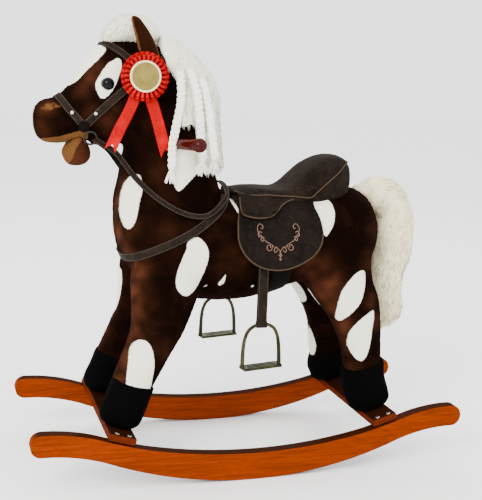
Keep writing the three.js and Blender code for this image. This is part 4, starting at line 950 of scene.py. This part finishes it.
# ---------------------------------------------------------------- saddle
# A stuffed seat with a raised cantle, two short skirts and two wide flaps, all in dark
# brown suede cloth. Edges are bound with a grey-brown piping cord.
SEAT = [(-32, 440, 22, 446), (-21, 430, 40, 446), (0, 416, 55, 442), (30, 412, 60, 440.5),
        (60, 411, 62, 439), (78, 410, 64, 447.5), (102, 403.5, 64, 474), (128, 399, 62.5, 493),
        (150, 401, 58, 498), (166, 416, 48, 494), (175, 438, 34, 484), (179, 452, 18, 472)]
FLAP_SECTION = [(40, 429.5), (58, 415), (73, 398.5), (86, 378), (95, 357), (99.5, 338), (99.5, 314)]
FLAP = [(-24, 446), (-24, 412), (-29, 392), (-31.5, 371), (-28, 355), (-18, 341), (-2, 329.5),
        (20, 322.5), (45, 322.5), (68, 329.5), (90, 342.5), (104, 358), (109.5, 375), (107.5, 394),
        (102, 416), (95, 446)]
SKIRT = [(-19, 446), (-20, 430), (-22, 410), (-12, 404), (6, 401.5), (24, 404), (36, 411), (47, 419),
         (60, 425), (78, 428.5), (94, 429), (104, 446)]


def suede_cloth(name, deep, napped, rub, roughness=0.9):
    """Brushed suede cloth: a cloudy, very matt brown with paler rubbed places; its nap is 1 mm."""
    material, tree, shader, place = new_material(name, Roughness=roughness, Specular_IOR_Level=0.05,
                                                 Sheen_Weight=0.08, Sheen_Roughness=0.3,
                                                 Sheen_Tint="#7d6858")
    clouds = add_node(tree, "TexNoise", Vector=place, Scale=34.0, Detail=5.0, Roughness=0.62,
                      Distortion=0.6)
    spread = add_node(tree, "MapRange", _0=clouds, _1=0.32, _2=0.70)
    ground = add_node(tree, "MixRGB", _0=spread, _1=deep, _2=napped)
    wear_and_highlight = add_node(tree, "TexNoise", Vector=place, Scale=120.0, Detail=3.0, Roughness=0.7)
    rubbed = add_node(tree, "MapRange", _0=wear_and_highlight, _1=0.52, _2=0.85, _3=0.0, _4=0.5)
    colour = add_node(tree, "MixRGB", _0=rubbed, _1=ground, _2=rub)
    nap_and_sheen = add_node(tree, "TexNoise", Vector=place, Scale=900.0, Detail=3.0, Roughness=0.7)
    set_inputs(shader, Base_Color=colour,
               Normal=add_node(tree, "Bump", Strength=0.35, Distance=0.0005, Height=nap_and_sheen))
    return material


def bent_sheet(name, outline, side, inner, outer, material, voxel, *given):
    """A thick sheet that follows the flaps' section, cut to an outline, its edges rolled round."""
    line = smoothed(FLAP_SECTION, 4)
    ends = np.gradient(line, axis=0)
    normal = np.stack([ends[:, 1], -ends[:, 0]], axis=1) / np.linalg.norm(ends, axis=1)[:, None]
    normal *= np.sign(normal[len(normal) // 2, 0])
    ring = [tuple(p) for p in line + normal * inner] + [tuple(p) for p in (line + normal * outer)[::-1]]
    bm = bmesh.new()
    bm.faces.new([bm.verts.new((-60 * MM, side * y * MM, z * MM)) for y, z in ring])
    drawn_out(bm, (190, 0, 0))
    sheet = to_object(bm, name, material, *given)
    trim = prism("trim", closed_curve(outline, 4), -140 if side < 0 else 0, 0 if side < 0 else 140,
                 material)
    applied(sheet, boolean("INTERSECT", trim), *remeshed(voxel, 3))
    return sheet


def tree_of(piece):
    """A piece's skin as a surface that can be searched."""
    points = [tuple(v.co) for v in piece.data.vertices]
    return BVHTree.FromPolygons(points, [tuple(face.vertices) for face in piece.data.polygons])


def laid_on(surface, line, side, lift=0.0, steps=6):
    """Drops (x, z) points on a surface from one side of the horse: where they land and its face there."""
    places, ways = [], []
    for x, z in smoothed(line, steps):
        hit, way, _, _ = surface.ray_cast(Vector((x * MM, side * 0.2, z * MM)), Vector((0, -side, 0)))
        if hit is not None and hit.y * side > 0:
            places.append(hit / MM + way * lift)
            ways.append(way)
    return places, ways


def even(values, times):
    """Smooths a row of vectors, ends kept."""
    rows = np.array([tuple(v) for v in values], float)
    for _ in range(times):
        rows[1:-1] = rows[1:-1] * 0.5 + (rows[:-2] + rows[2:]) * 0.25
    return [Vector(r) for r in rows]


def pressed_on(surface, line, lift, steps=6):
    """Moves (x, y, z) points to the nearest places of a surface, or a lift above it."""
    places = []
    for point in smoothed(line, steps):
        hit, way, _, _ = surface.find_nearest(Vector(point) * MM)
        places.append(hit / MM + way * lift)
    return even(places, 2)


def barrel_reach(z):
    """How far out from the middle the flaps' inner faces lie at a height."""
    section = np.array(FLAP_SECTION[::-1])
    return np.interp(z, section[:, 1], section[:, 0])


def eased_over(piece, surface, side, room):
    """Pushes the parts of a sheet outwards that would sink into a surface, to lie `room` above it."""
    co = points_of(piece) / MM
    depth = np.clip(co[:, 1] * side - barrel_reach(co[:, 2]), 0, 12)
    push = np.zeros(len(co))
    for i, (x, y, z) in enumerate(co):
        hit, _, _, _ = surface.ray_cast(Vector((x * MM, side * 0.2, z * MM)), Vector((0, -side, 0)))
        if hit is not None:
            push[i] = max(0.0, hit.y * side / MM + room + depth[i] * 0.8 - y * side)
    co[:, 1] += side * push
    set_points(piece, co * MM)


def joined(*pieces):
    """Joins pieces into the first, which keeps its name and body."""
    bm = bmesh.new()
    for piece in pieces:
        bm.from_mesh(piece.data)
    bm.to_mesh(pieces[0].data)
    bm.free()
    for piece in pieces[1:]:
        bpy.data.objects.remove(piece)


SEAT_CLEARANCE = 5.0                        # room left under the skirts for the flaps
FLAP_CLEARANCE = 0.8
PIPING_RADIUS = 1.3
THREAD_RADIUS = 0.62
SPRAY_MIDDLE = 34.9
suede = suede_cloth("brushed_suede_cloth", "#0c0806", "#1c1510", "#33291f")
flap_suede = suede_cloth("dark_suede_flap_cloth", "#0a0706", "#17110e", "#282019")
piping_cloth = mottled("waxed_cotton_piping", {"Scale": 500.0, "Detail": 2.0},
                       ((0, "#2a2118"), (1, "#43382a")), (0.4, 0.0004), Roughness=0.7,
                       Specular_IOR_Level=0.04)

hide_surface = tree_of(hide)
seat_rows = [(x, 0, (low + high) / 2, 90, (high - low) / 2, width) for x, low, width, high in SEAT]
seat = to_object(loft_form(seat_rows, power=2.5, count=40, grow=-1.0), "saddle_seat_pad", suede, "suede",
                 ["saddle_seat"])
applied(seat, *remeshed(4.5, 3))
before = points_of(seat)
air = seat.modifiers.new("air", "CLOTH")
air.settings.use_pressure = True
air.settings.uniform_pressure_force = 4
air.settings.quality = 5
air.settings.mass = 0.3
air.settings.tension_stiffness = air.settings.compression_stiffness = 20
air.settings.effector_weights.gravity = 0
air.collision_settings.use_collision = False
air.point_cache.frame_start, air.point_cache.frame_end = 1, 16
for step in range(1, 17):
    scene.frame_set(step)
applied(seat)
scene.frame_set(1)
after = points_of(seat)
moved = after - before
far = np.linalg.norm(moved, axis=1)[:, None]
set_points(seat, before + moved * np.minimum(1, 4 * MM / np.maximum(far, 1e-9)))
applied(seat, ("SUBSURF", {"levels": 1, "render_levels": 1}))
SEAT_SEAM = [(-27, 34, 445), (-14, 46, 441), (5, 54, 440), (33, 57, 439), (57, 60, 437), (79, 62, 432),
             (97, 62, 430), (108, 61.5, 439), (124, 58, 453), (142, 50, 466), (157, 38, 476),
             (169, 24, 482)]
seat_surface = tree_of(seat)
seams = []
for side in (-1, 1):
    places = pressed_on(seat_surface, [(x, side * y, z) for x, y, z in SEAT_SEAM], lift=0.8, steps=10)
    seams.append(places)
across = pressed_on(seat_surface, [(169, -24, 482), (173, -12, 485), (174, 0, 486), (173, 12, 485),
                                      (169, 24, 482)], lift=0.8)
pushed(seat, (0.7, 30, 6.0), (0.35, 9, 2.0), pull=1.4 * seam_pull(seat, seams[0] + seams[1], 3.5))
skirts = []
rims = []
for side in (-1, 1):
    skirt = bent_sheet(f"skirt_{side}", SKIRT, side, 4.3, 8.6, suede, 1.5)
    eased_over(skirt, hide_surface, side, SEAT_CLEARANCE)
    rim = [(x, side * (barrel_reach(z) + 13), z) for x, z in SKIRT[1:-1]]
    places = pressed_on(tree_of(skirt), rim, lift=0.3, steps=8)
    rims.append(places)
    skirts.append(skirt)
joined(seat, *skirts)

bm = bmesh.new()
for places in seams + rims + [across]:
    tube(bm, places, PIPING_RADIUS, 8)
to_object(bm, "saddle_seat_piping", piping_cloth, "suede")

# the wide flaps, each one sheet of suede over felt, bound with piping all round and
# embroidered in gold thread with a common scroll spray
thread = mottled("gold_rayon_thread", {"Scale": 700.0, "Detail": 1.0}, ((0, "#2f1c0c"), (1, "#744c24")),
                 Roughness=0.45, Sheen_Weight=0.3)
SPRAY = [
    [(34.9, 341), (35.5, 350), (31, 356), (26, 358), (22, 361), (17, 364)],
    [(30, 354), (27, 350.5), (24, 353), (26, 357.5), (30, 358.5)],
    [(22, 361), (19, 354.5), (14.5, 353.5), (11.5, 357), (14, 361.5), (18, 361), (17.5, 357.5)],
    [(17, 364), (11, 367), (6, 371), (2, 376)],
    [(8, 370), (4, 367.5), (2.5, 371), (5.5, 374), (8.5, 372)],
    [(3.5, 376.5), (-0.5, 374), (-1.5, 378), (1.5, 381.5), (5, 379.5)],
    [(1.0, 376), (-1.8, 383), (-1.2, 388.5), (2, 392.2), (6.2, 391.8), (8.3, 388.3), (6.6, 385.4),
     (4.2, 386.4)]]
CROSS = [[(34.9, 338), (34.9, 346)], [(31.5, 346.8), (34.9, 344.5), (38.3, 346.8)],
         [(32.8, 340.8), (34.9, 338.8), (37, 340.8)]]
for word, side in SIDES:
    flap = bent_sheet(f"saddle_flap_sheet_{word}", FLAP, side, 0.2, 3.7, flap_suede, 1.3, "suede",
                      [f"saddle_flap_{word}"])
    eased_over(flap, hide_surface, side, FLAP_CLEARANCE)
    co = points_of(flap)
    wave = np.maximum(0.7 * rough(co, 38, 9.0 + side) + 0.25 * rough(co, 12, 3.0), -0.15)
    set_points(flap, co + np.stack([wave * 0, side * wave, wave * 0], axis=1) * MM
               * np.clip((0.415 - co[:, 2]) / 0.03, 0, 1)[:, None])
    surface = tree_of(flap)
    bm = bmesh.new()
    rim = []
    for x, z in FLAP[1:-1]:
        out = barrel_reach(z) + np.interp(z, [415, 429.5], [3.5, 4.0])
        rim.append((36 + (x - 36) * 0.985, side * out, 384 + (z - 384) * 0.982))
    places = pressed_on(surface, rim, lift=0.3, steps=8)
    tube(bm, places, 1.35, 8)
    to_object(bm, f"saddle_flap_piping_{word}", piping_cloth, "suede")
    bm = bmesh.new()
    for stroke in SPRAY + CROSS:
        for mirror in ((1, -1) if stroke in SPRAY else (1,)):
            run = [(SPRAY_MIDDLE + (x - SPRAY_MIDDLE) * 0.93 * mirror, z) for x, z in stroke]
            places, _ = laid_on(surface, run, side, lift=0.15, steps=7)
            tube(bm, places, THREAD_RADIUS, 6)
    to_object(bm, f"flap_embroidery_{word}", thread, "suede")

# ---------------------------------------------------------------- bridle, girth and breast strap
# Dark brown straps of suede-faced leather, stitched along both edges in a paler
# thread and sewn to the plush. Bright studs stand where the bridle straps meet.
strap_leather = suede_cloth("stitched_strap_leather", "#0e0a07", "#1e1611", "#362b23", 0.72)
stitch_thread = mottled("waxed_linen_stitching", {"Scale": 800.0, "Detail": 1.0},
                        ((0, "#2b2219"), (1, "#4a3d2f")), Roughness=0.8)
STRAP_THICKNESS = 2.6


def flat_strap(bm, places, ways, width, thickness, closed=False):
    """A flat strap with rounded edges along points; `ways` say where its face looks."""
    frames = []
    count = len(places)
    for i, p in enumerate(places):
        ahead = places[(i + 1) % count] if closed or i < count - 1 else p
        behind = places[i - 1] if closed or i else p
        along = (Vector(ahead) - Vector(behind)).normalized()
        face = Vector(ways[i])
        face = (face - along * face.dot(along)).normalized()
        frames.append((Vector(p), along.cross(face) * (width / 2), face * (thickness / 2)))
    sweep(bm, frames, 20, 7.0, closed)
    return frames


def stitch_rows(bm, frames, inset=1.5, pitch=4.2):
    """Rows of short raised stitches along both edges of a strap, on its outer face."""
    for edge in (-1, 1):
        run = [p + across * edge * (1 - inset / across.length) + face * 0.93 for p, across, face in frames]
        gone = 0.0
        start = None
        for a, b in zip(run, run[1:]):
            step = (b - a).length
            place = 0.0
            while step > 0 and place < step:
                left = (pitch * (0.68 if start is not None else 0.32)) - gone
                if place + left > step:
                    gone += step - place
                    break
                place += left
                gone = 0.0
                at = a + (b - a) * (place / step)
                if start is None:
                    start = at
                else:
                    if (at - start).length > 0.5:
                        tube(bm, [start, (start + at) / 2, at], [0.3, 0.5, 0.3], 5)
                    start = None


def strap_round(name, surface, line, width, lift, stands_for, leather=strap_leather, stitched=True):
    """A strap laid on the plush along (x, z) points, from one side over the top to the other."""
    left, left_ways = laid_on(surface, line, -1)
    other, other_ways = laid_on(surface, line, 1)
    ahead = (Vector((*line[-1], 0)) - Vector((*line[-2], 0))).normalized()
    ahead = Vector((ahead.x, 0, ahead.y))
    for share in np.linspace(0, 1, 16)[1:-1]:
        out = left[-1].lerp(other[-1], share) + ahead * 60
        hit, way, _, _ = surface.ray_cast(out * MM, -ahead)
        if hit is not None and (hit / MM - out).length < 90:
            left.append(hit / MM)
            left_ways.append(way)
    ways = even(left_ways + other_ways[::-1], 6)
    places = even([p + w * lift for p, w in zip(left + other[::-1], ways)], 5)
    bm, threads = bmesh.new(), bmesh.new()
    frames = flat_strap(bm, places, ways, width, STRAP_THICKNESS)
    to_object(bm, name, leather, "strap", [stands_for])
    if stitched:
        stitch_rows(threads, frames)
        to_object(threads, f"{name}_stitching", stitch_thread, "strap")


CHEEK = [(-264, 532), (-246, 551), (-222, 575), (-198, 596), (-176, 612), (-152, 626), (-138, 645),
         (-134, 656)]
NOSE = [(-305, 588), (-293, 572), (-284, 560), (-272, 547), (-263, 537)]
BROW = [(-246, 668), (-231, 659), (-215, 650), (-199, 638), (-184, 622)]
BREAST = [(-222, 318), (-204, 326), (-187, 337), (-163, 349), (-137, 361), (-99, 381), (-77, 396),
          (-54, 413), (-38, 430)]
strap_round("headstall_strap", hide_surface, CHEEK, 13, 1.5, "headstall")
strap_round("noseband_strap", hide_surface, NOSE[::-1], 12, 1.4, "noseband")
strap_round("browband_strap", hide_surface, BROW[::-1], 12, 1.4, "browband")
strap_round("breast_band", hide_surface, BREAST[::-1], 14, 1.5, "breast_strap")
dark_webbing = suede_cloth("dark_webbing_cloth", "#050302", "#0c0806", "#17110d")
strap_round("girth_webbing", hide_surface, [(46, z) for z in (356, 330, 305, 284, 272, 266)], 34, 1.5,
            "girth", dark_webbing, stitched=False)

# the domed studs are bright nickel
nickel, tree, shader, place = new_material("polished_nickel_plate", Base_Color="#c4c1b6", Metallic=1.0,
                                           Roughness=0.3)
hairlines = add_node(tree, "TexNoise", Vector=place, Scale=600.0, Detail=2.0)
set_inputs(shader, Normal=add_node(tree, "Bump", Strength=0.06, Distance=0.0002, Height=hairlines))
# the two rings at the corners of the mouth are wire of the same metal, dulled nearly black
dark_nickel = mottled("tarnished_nickel_wire", {"Scale": 200.0, "Detail": 2.0},
                      ((0, "#1c1b19"), (1, "#3a3835")), Metallic=1.0, Roughness=0.3)
RING = (-252.5, 38, 518)
RING_RADIUS = 9.5
WIRE_RADIUS = 1.55
STUD_RADIUS = 3.0
STUDS = [(-279.5, 555), (-245, 554.5), (-231, 659)]
CROSSING = (-262, 535)
for word, side in SIDES:
    bm = bmesh.new()
    round_way = [2 * math.pi * k / 36 for k in range(36)]
    tube(bm, [(RING[0] + RING_RADIUS * math.cos(t), side * RING[1], RING[2] + RING_RADIUS * math.sin(t))
              for t in round_way], WIRE_RADIUS, 12, True)
    to_object(bm, f"bit_ring_wire_{word}", dark_nickel, "ring", [f"bit_ring_{word}"])
    bm = bmesh.new()
    for x, z in STUDS:
        places, ways = laid_on(hide_surface, [(x, z), (x, z)], side, lift=2.9, steps=1)
        dome = bmesh.ops.create_uvsphere(bm, u_segments=20, v_segments=10, radius=STUD_RADIUS * MM)["verts"]
        for v in dome:
            v.co.z = max(v.co.z, -0.2 * MM) * 0.75
        bmesh.ops.transform(bm, verts=dome, matrix=standing(places[0] * MM, ways[0]))
    bmesh.ops.remove_doubles(bm, verts=bm.verts, dist=0.02 * MM)
    to_object(bm, f"bridle_studs_{word}", nickel, "ring")
    # a round leather patch is sewn over the place where cheek strap and noseband cross
    places, ways = laid_on(hide_surface, [CROSSING, CROSSING], side, lift=3.4, steps=1)
    bm = bmesh.new()
    bmesh.ops.create_cone(bm, cap_ends=True, segments=32, radius1=8.6 * MM, radius2=8.2 * MM,
                          depth=STRAP_THICKNESS * MM, matrix=standing(places[0] * MM, ways[0]))
    bmesh.ops.bevel(bm, geom=bm.edges[:], offset=0.7 * MM, offset_type="OFFSET", segments=2, profile=0.5,
                    affect="EDGES", clamp_overlap=True, material=-1)
    to_object(bm, f"bridle_crossing_patch_{word}", dark_webbing, "strap")

# ---------------------------------------------------------------- reins
# One long strap, looped through both rings and hanging slack under the neck to the
# front of the saddle, where it lies over the pommel.
REIN = [(-242, 38, 513), (-234, 38, 509.2), (-225.4, 38, 504.5), (-212.6, 38, 495), (-200.8, 39, 480.5),
        (-190, 43, 466), (-176.9, 57, 450.5), (-158.8, 70, 434), (-136.8, 77, 419.2), (-111.5, 80, 408),
        (-85.7, 81.5, 404.5), (-69, 80.5, 411.5), (-54, 75, 425), (-46, 66, 433)]
hairpin = [(-230, 36.0, 507.5), (-238, 36.0, 511.8), (-243, 36.3, 514.2), (-246.3, 38, 515.9),
           (-243, 39.8, 514.2)]
half_run = hairpin + [(-236, 39.3, 510.3), *REIN[2:]]
over_saddle = [(-41, 51, 438.5), (-38.5, 27, 446.5), (-37.5, 0, 449.5)]
path = [(x, -y, z) for x, y, z in half_run + over_saddle] + (half_run + over_saddle[:-1])[::-1]
places = [Vector(p) for p in smoothed(path, 5)]
ways = [Vector((0, math.copysign(1, p.y), 0)) if abs(p.y) > 60 or p.x < -100
        else Vector((0, p.y / 60, 1 - abs(p.y) / 60)) for p in places]
for i, p in enumerate(places):
    if p.x < -229:
        ahead = places[min(i + 1, len(places) - 1)] - places[max(i - 1, 0)]
        ways[i] = ahead.normalized().cross(Vector((0.48, 0, -0.88)).cross(Vector((0, 1, 0))).normalized())
for i in range(1, len(ways)):
    if ways[i].dot(ways[i - 1]) < 0:
        ways[i] = -ways[i]
bm, threads = bmesh.new(), bmesh.new()
frames = flat_strap(bm, even(places, 1), even(ways, 3), 9, 2.4)
stitch_rows(threads, frames, 1.3)
to_object(bm, "reins_strap", strap_leather, "strap", ["reins"])
to_object(threads, "reins_strap_stitching", stitch_thread, "strap")

# ---------------------------------------------------------------- stirrups
# Each leather hangs behind the flap and is sewn back on itself round the iron's top
# bar. The irons are cast in brass, tumbled to an antique grey-gold.
iron_metal, tree, shader, place = new_material("antique_cast_brass", Metallic=1.0, Roughness=0.45)
tarnish = add_node(tree, "TexNoise", Vector=place, Scale=60.0, Detail=4.0, Roughness=0.6)
tones = add_node(tree, "ValToRGB", ramp=((0.35, "#262416"), (0.65, "#46442c")), _0=tarnish)
cast = add_node(tree, "TexNoise", Vector=place, Scale=500.0, Detail=2.0)
set_inputs(shader, Base_Color=tones,
           Normal=add_node(tree, "Bump", Strength=0.15, Distance=0.0003, Height=cast))
LEATHER_PLANE = 97.5
LEATHER_PLACE = {"left": 10, "right": -5}
LEATHER_WIDTH = 17
LEATHER_THICKNESS = 1.5
TREAD = (66, 21.5, 4.6)
TREAD_SLOT = (49, 2.4, 9)
SLOT_STEP = 5.8
IRON_PIVOT = 234.5
for word, side in SIDES:
    x, y = LEATHER_PLACE[word], side * LEATHER_PLANE
    # down behind the flap, round the iron's bar and up again, as (across, height)
    loop = [(-0.85, 335), (-0.85, 300), (-0.85, 262), (-0.85, 246), (-1.6, 241.5), (-3.2, 238),
            (-3.95, 234.5), (-2.9, 231.6), (0, 230.55), (2.9, 231.6), (3.95, 234.5), (3.2, 238),
            (1.6, 241.5), (0.85, 246), (0.85, 262), (0.85, 300), (0.85, 325)]
    run = smoothed([(0, a, z) for a, z in loop], 4)
    ahead = np.gradient(run, axis=0)
    ways = [Vector((0, -d[2], d[1])) for d in ahead]
    bm, threads = bmesh.new(), bmesh.new()
    flat_strap(bm, [Vector((x, y + p[1], p[2])) for p in run], ways, LEATHER_WIDTH,
               LEATHER_THICKNESS)
    for outer in (-1, 1):
        across, face = Vector((LEATHER_WIDTH / 2, 0, 0)), Vector((0, outer * 0.4, 0))
        rows = [(Vector((x, y + outer * 1.65, z)), across, face) for z in np.linspace(333, 247, 30)]
        stitch_rows(threads, rows, 1.7)
    to_object(bm, f"stirrup_strap_{word}", strap_leather, "strap", [f"stirrup_leather_{word}"],
              f"leather_{word}")
    to_object(threads, f"stirrup_strap_stitching_{word}", stitch_thread, "strap", body=f"leather_{word}")

    # a rounded bow from the top bar down to both ends of a slotted tread
    half, foot = 31.6, 167.3
    arm = [(half + 0.9, foot - 0.5), (half + 0.4, foot + 16), (half - 0.5, foot + 32),
           (half - 3, foot + 47), (half - 8.5, foot + 59), (half - 16, IRON_PIVOT - 2.2),
           (9.5, IRON_PIVOT), (4, IRON_PIVOT)]
    bow = smoothed([(-a, 0, z) for a, z in arm] + [(a, 0, z) for a, z in arm[::-1]], 5)
    bm = bmesh.new()
    thick = [2.9 if z > foot + 50 else 2.9 + 0.6 * (foot + 50 - z) / 50 for _, _, z in bow]
    tube(bm, [(x + a, y, z) for a, _, z in bow], thick, 14)
    bar = bmesh.ops.create_cube(bm, size=1.0)["verts"]
    bmesh.ops.scale(bm, verts=bar, vec=Vector(TREAD) * MM)
    bmesh.ops.translate(bm, verts=bar, vec=(x * MM, y * MM, foot * MM))
    iron = to_object(bm, f"stirrup_casting_{word}", iron_metal, "iron", [f"stirrup_iron_{word}"],
                     f"iron_{word}")
    bm = bmesh.new()
    for k in (-1, 0, 1):
        slot_cut = bmesh.ops.create_cube(bm, size=1.0)["verts"]
        bmesh.ops.scale(bm, verts=slot_cut, vec=Vector(TREAD_SLOT) * MM)
        bmesh.ops.translate(bm, verts=slot_cut, vec=Vector((x, y + k * SLOT_STEP, foot)) * MM)
    slots = to_object(bm, "slots", iron_metal)
    applied(iron, boolean("DIFFERENCE", slots), *remeshed(0.7, 2))
    # the irons hang a little turned, their rear ends away from the left and higher
    hang = Matrix.Translation(Vector((x, y, IRON_PIVOT)) * MM)
    askew = Matrix.Rotation(math.radians(8), 4, "Z") @ Matrix.Rotation(math.radians(-1.5), 4, "Y")
    iron.data.transform(hang @ askew @ hang.inverted())

# ---------------------------------------------------------------- rosette
# A show rosette of pleated red satin ribbon round a covered button, pinned to the
# bridle, with two ribbon tails cut to swallow tails behind it. The button is bare.
satin, tree, shader, place = new_material("red_polyester_satin", Roughness=0.34, Specular_IOR_Level=0.02)
weave = add_node(tree, "TexNoise", Vector=place, Scale=260.0, Detail=3.0, Roughness=0.6)
tones = add_node(tree, "ValToRGB", ramp=((0.35, "#8a0006"), (0.7, "#a00008")), _0=weave)
crease_shade = add_node(tree, "Attribute", {"attribute_name": "crease_shade"})
# painted highlight: a large noise lays lighter red streaks over the satin in place of its gleam
gleam = add_node(tree, "TexNoise", Vector=place, Scale=42.0, Detail=1.0)
highlight_streak = add_node(tree, "MapRange", _0=gleam, _1=0.48, _2=0.72, _3=0.0, _4=0.45)
painted_sheen = add_node(tree, "MixRGB", _0=highlight_streak, _1=tones, _2="#c4020c")
# painted shade: darker red down in the pleat valleys and towards the button
shaded_satin = add_node(tree, "MixRGB", _0=crease_shade, _1=painted_sheen, _2="#2c0000")
ribs = add_node(tree, "TexWave", {"wave_type": "BANDS", "bands_direction": "Z"}, Vector=place, Scale=420.0,
                Distortion=0.6, Detail=1.0)
set_inputs(shader, Base_Color=shaded_satin,
           Normal=add_node(tree, "Bump", Strength=0.12, Distance=0.0002, Height=ribs))
CENTRE = (-177, -60, 612)
PLEATS = 26
RUFFLE_HOLE = 18                            # the ribbon's inner edge, hidden by the button
RUFFLE_LAYERS = ((36.2, 2.0), (31.5, 5.6))  # outer radius, and how far out it stands
bm = bmesh.new()
crease_shade = bm.verts.layers.float.new("crease_shade")
for layer, (reach, depth) in enumerate(RUFFLE_LAYERS):
    bmesh.ops.create_grid(bm, x_segments=PLEATS * 12, y_segments=9, size=0.5)
    made = [v for v in bm.verts if not v.tag]
    for v in made:
        v.tag = True
        turn, out_share = (v.co.x + 0.5) * 2 * math.pi, v.co.y + 0.5
        fold = math.sin(turn * PLEATS + layer * 1.4 + out_share * 0.35)
        radius = RUFFLE_HOLE + (reach - RUFFLE_HOLE) * out_share + 0.5 * fold * out_share
        proud = depth + 2.2 * math.sin(out_share * math.pi * 0.75) + fold * (0.8 + 1.5 * out_share)
        # painted shade, deepest in the pleat valleys and at the ruffle's inner edge under the button
        v[crease_shade] = max(0.0, 0.75 * (0.35 - fold) / 1.35) + 0.25 * (1 - out_share) ** 2
        a = turn + 0.045 * math.sin(turn * PLEATS * 2 + layer) * out_share
        v.co = Vector((CENTRE[0] + radius * math.cos(a), CENTRE[1] - proud,
                       CENTRE[2] + radius * math.sin(a))) * MM
bmesh.ops.remove_doubles(bm, verts=bm.verts, dist=0.02 * MM)
ruffle = to_object(bm, "rosette_ruffle", satin, "satin", ["rosette"])
applied(ruffle, ("SOLIDIFY", {"thickness": 0.5 * MM, "offset": 0.0}))

button_cloth = mottled("olive_cream_covered_button", {"Scale": 90.0, "Detail": 3.0},
                       ((0.3, "#6b5e2b"), (0.7, "#7d6f38")), Roughness=0.6, Specular_IOR_Level=0.1)
rim_enamel = mottled("cream_lacquered_rim", {"Scale": 120.0, "Detail": 2.0},
                     ((0, "#cfc594"), (1, "#ddd4a8")), Roughness=0.35)
BUTTON = [(0, 2), (21, 2), (21.2, 9.2), (19, 9.6), (12, 10.3), (0, 10.9)]
BUTTON_RIM = [(20.2, 2), (23.2, 2), (23.6, 6), (23.4, 9.4), (22.6, 10.6), (21.4, 10.7), (20.4, 9.8),
              (20.2, 8)]
facing = Matrix.Translation(Vector(CENTRE) * MM) @ Matrix.Rotation(math.radians(90), 4, "X")
for name, bm, material in (("rosette_button", spun(BUTTON, 56), button_cloth),
                           ("rosette_button_rim", spun(BUTTON_RIM, 56, ring=True), rim_enamel)):
    bmesh.ops.transform(bm, verts=bm.verts, matrix=facing)
    to_object(bm, name, material, "satin")

TAILS = {"front": [(-186, 592, 18), (-198, 562, 17), (-213.5, 531, 18), (-227, 500.5, 17.5)],
         "back": [(-172, 592, 18), (-160, 562, 18), (-150, 529, 18.5), (-139.5, 493.5, 18.5)]}
for index, (word, rows) in enumerate(TAILS.items()):
    run = smoothed(rows, 10)
    ahead = np.gradient(run[:, :2], axis=0)
    total = np.concatenate([[0], np.cumsum(np.linalg.norm(np.diff(run[:, :2], axis=0), axis=1))])
    bm = bmesh.new()
    bmesh.ops.create_grid(bm, x_segments=12, y_segments=len(run) - 1, size=0.5)
    rows_of = sorted(bm.verts, key=lambda v: (round(v.co.y, 5), v.co.x))
    across_count = len(rows_of) // len(run)
    for k, v in enumerate(rows_of):
        i, j = divmod(k, across_count)
        share = j / (across_count - 1) * 2 - 1
        way = Vector((ahead[i][0], 0, ahead[i][1])).normalized()
        sideways = Vector((-way.z, 0, way.x))
        at = Vector((run[i][0], 0, run[i][1]))
        notch = (1 - abs(share)) * 11 * (total[i] / total[-1]) ** 6
        wave = 1.3 * math.sin(total[i] / 17 + index * 1.3) * (total[i] / total[-1])
        wave += 0.5 * share * math.sin(total[i] / 26)
        at = at + sideways * share * run[i][2] / 2 - way * notch
        v.co = Vector((at.x, CENTRE[1] + 1.8 - abs(wave) + (0.9 if index else 0.2), at.z)) * MM
    ribbon = to_object(bm, f"rosette_ribbon_{word}", satin, "satin",
                       ["rosette_ribbons"] if index == 0 else [])
    applied(ribbon, ("SOLIDIFY", {"thickness": 0.4 * MM, "offset": 0.0}))
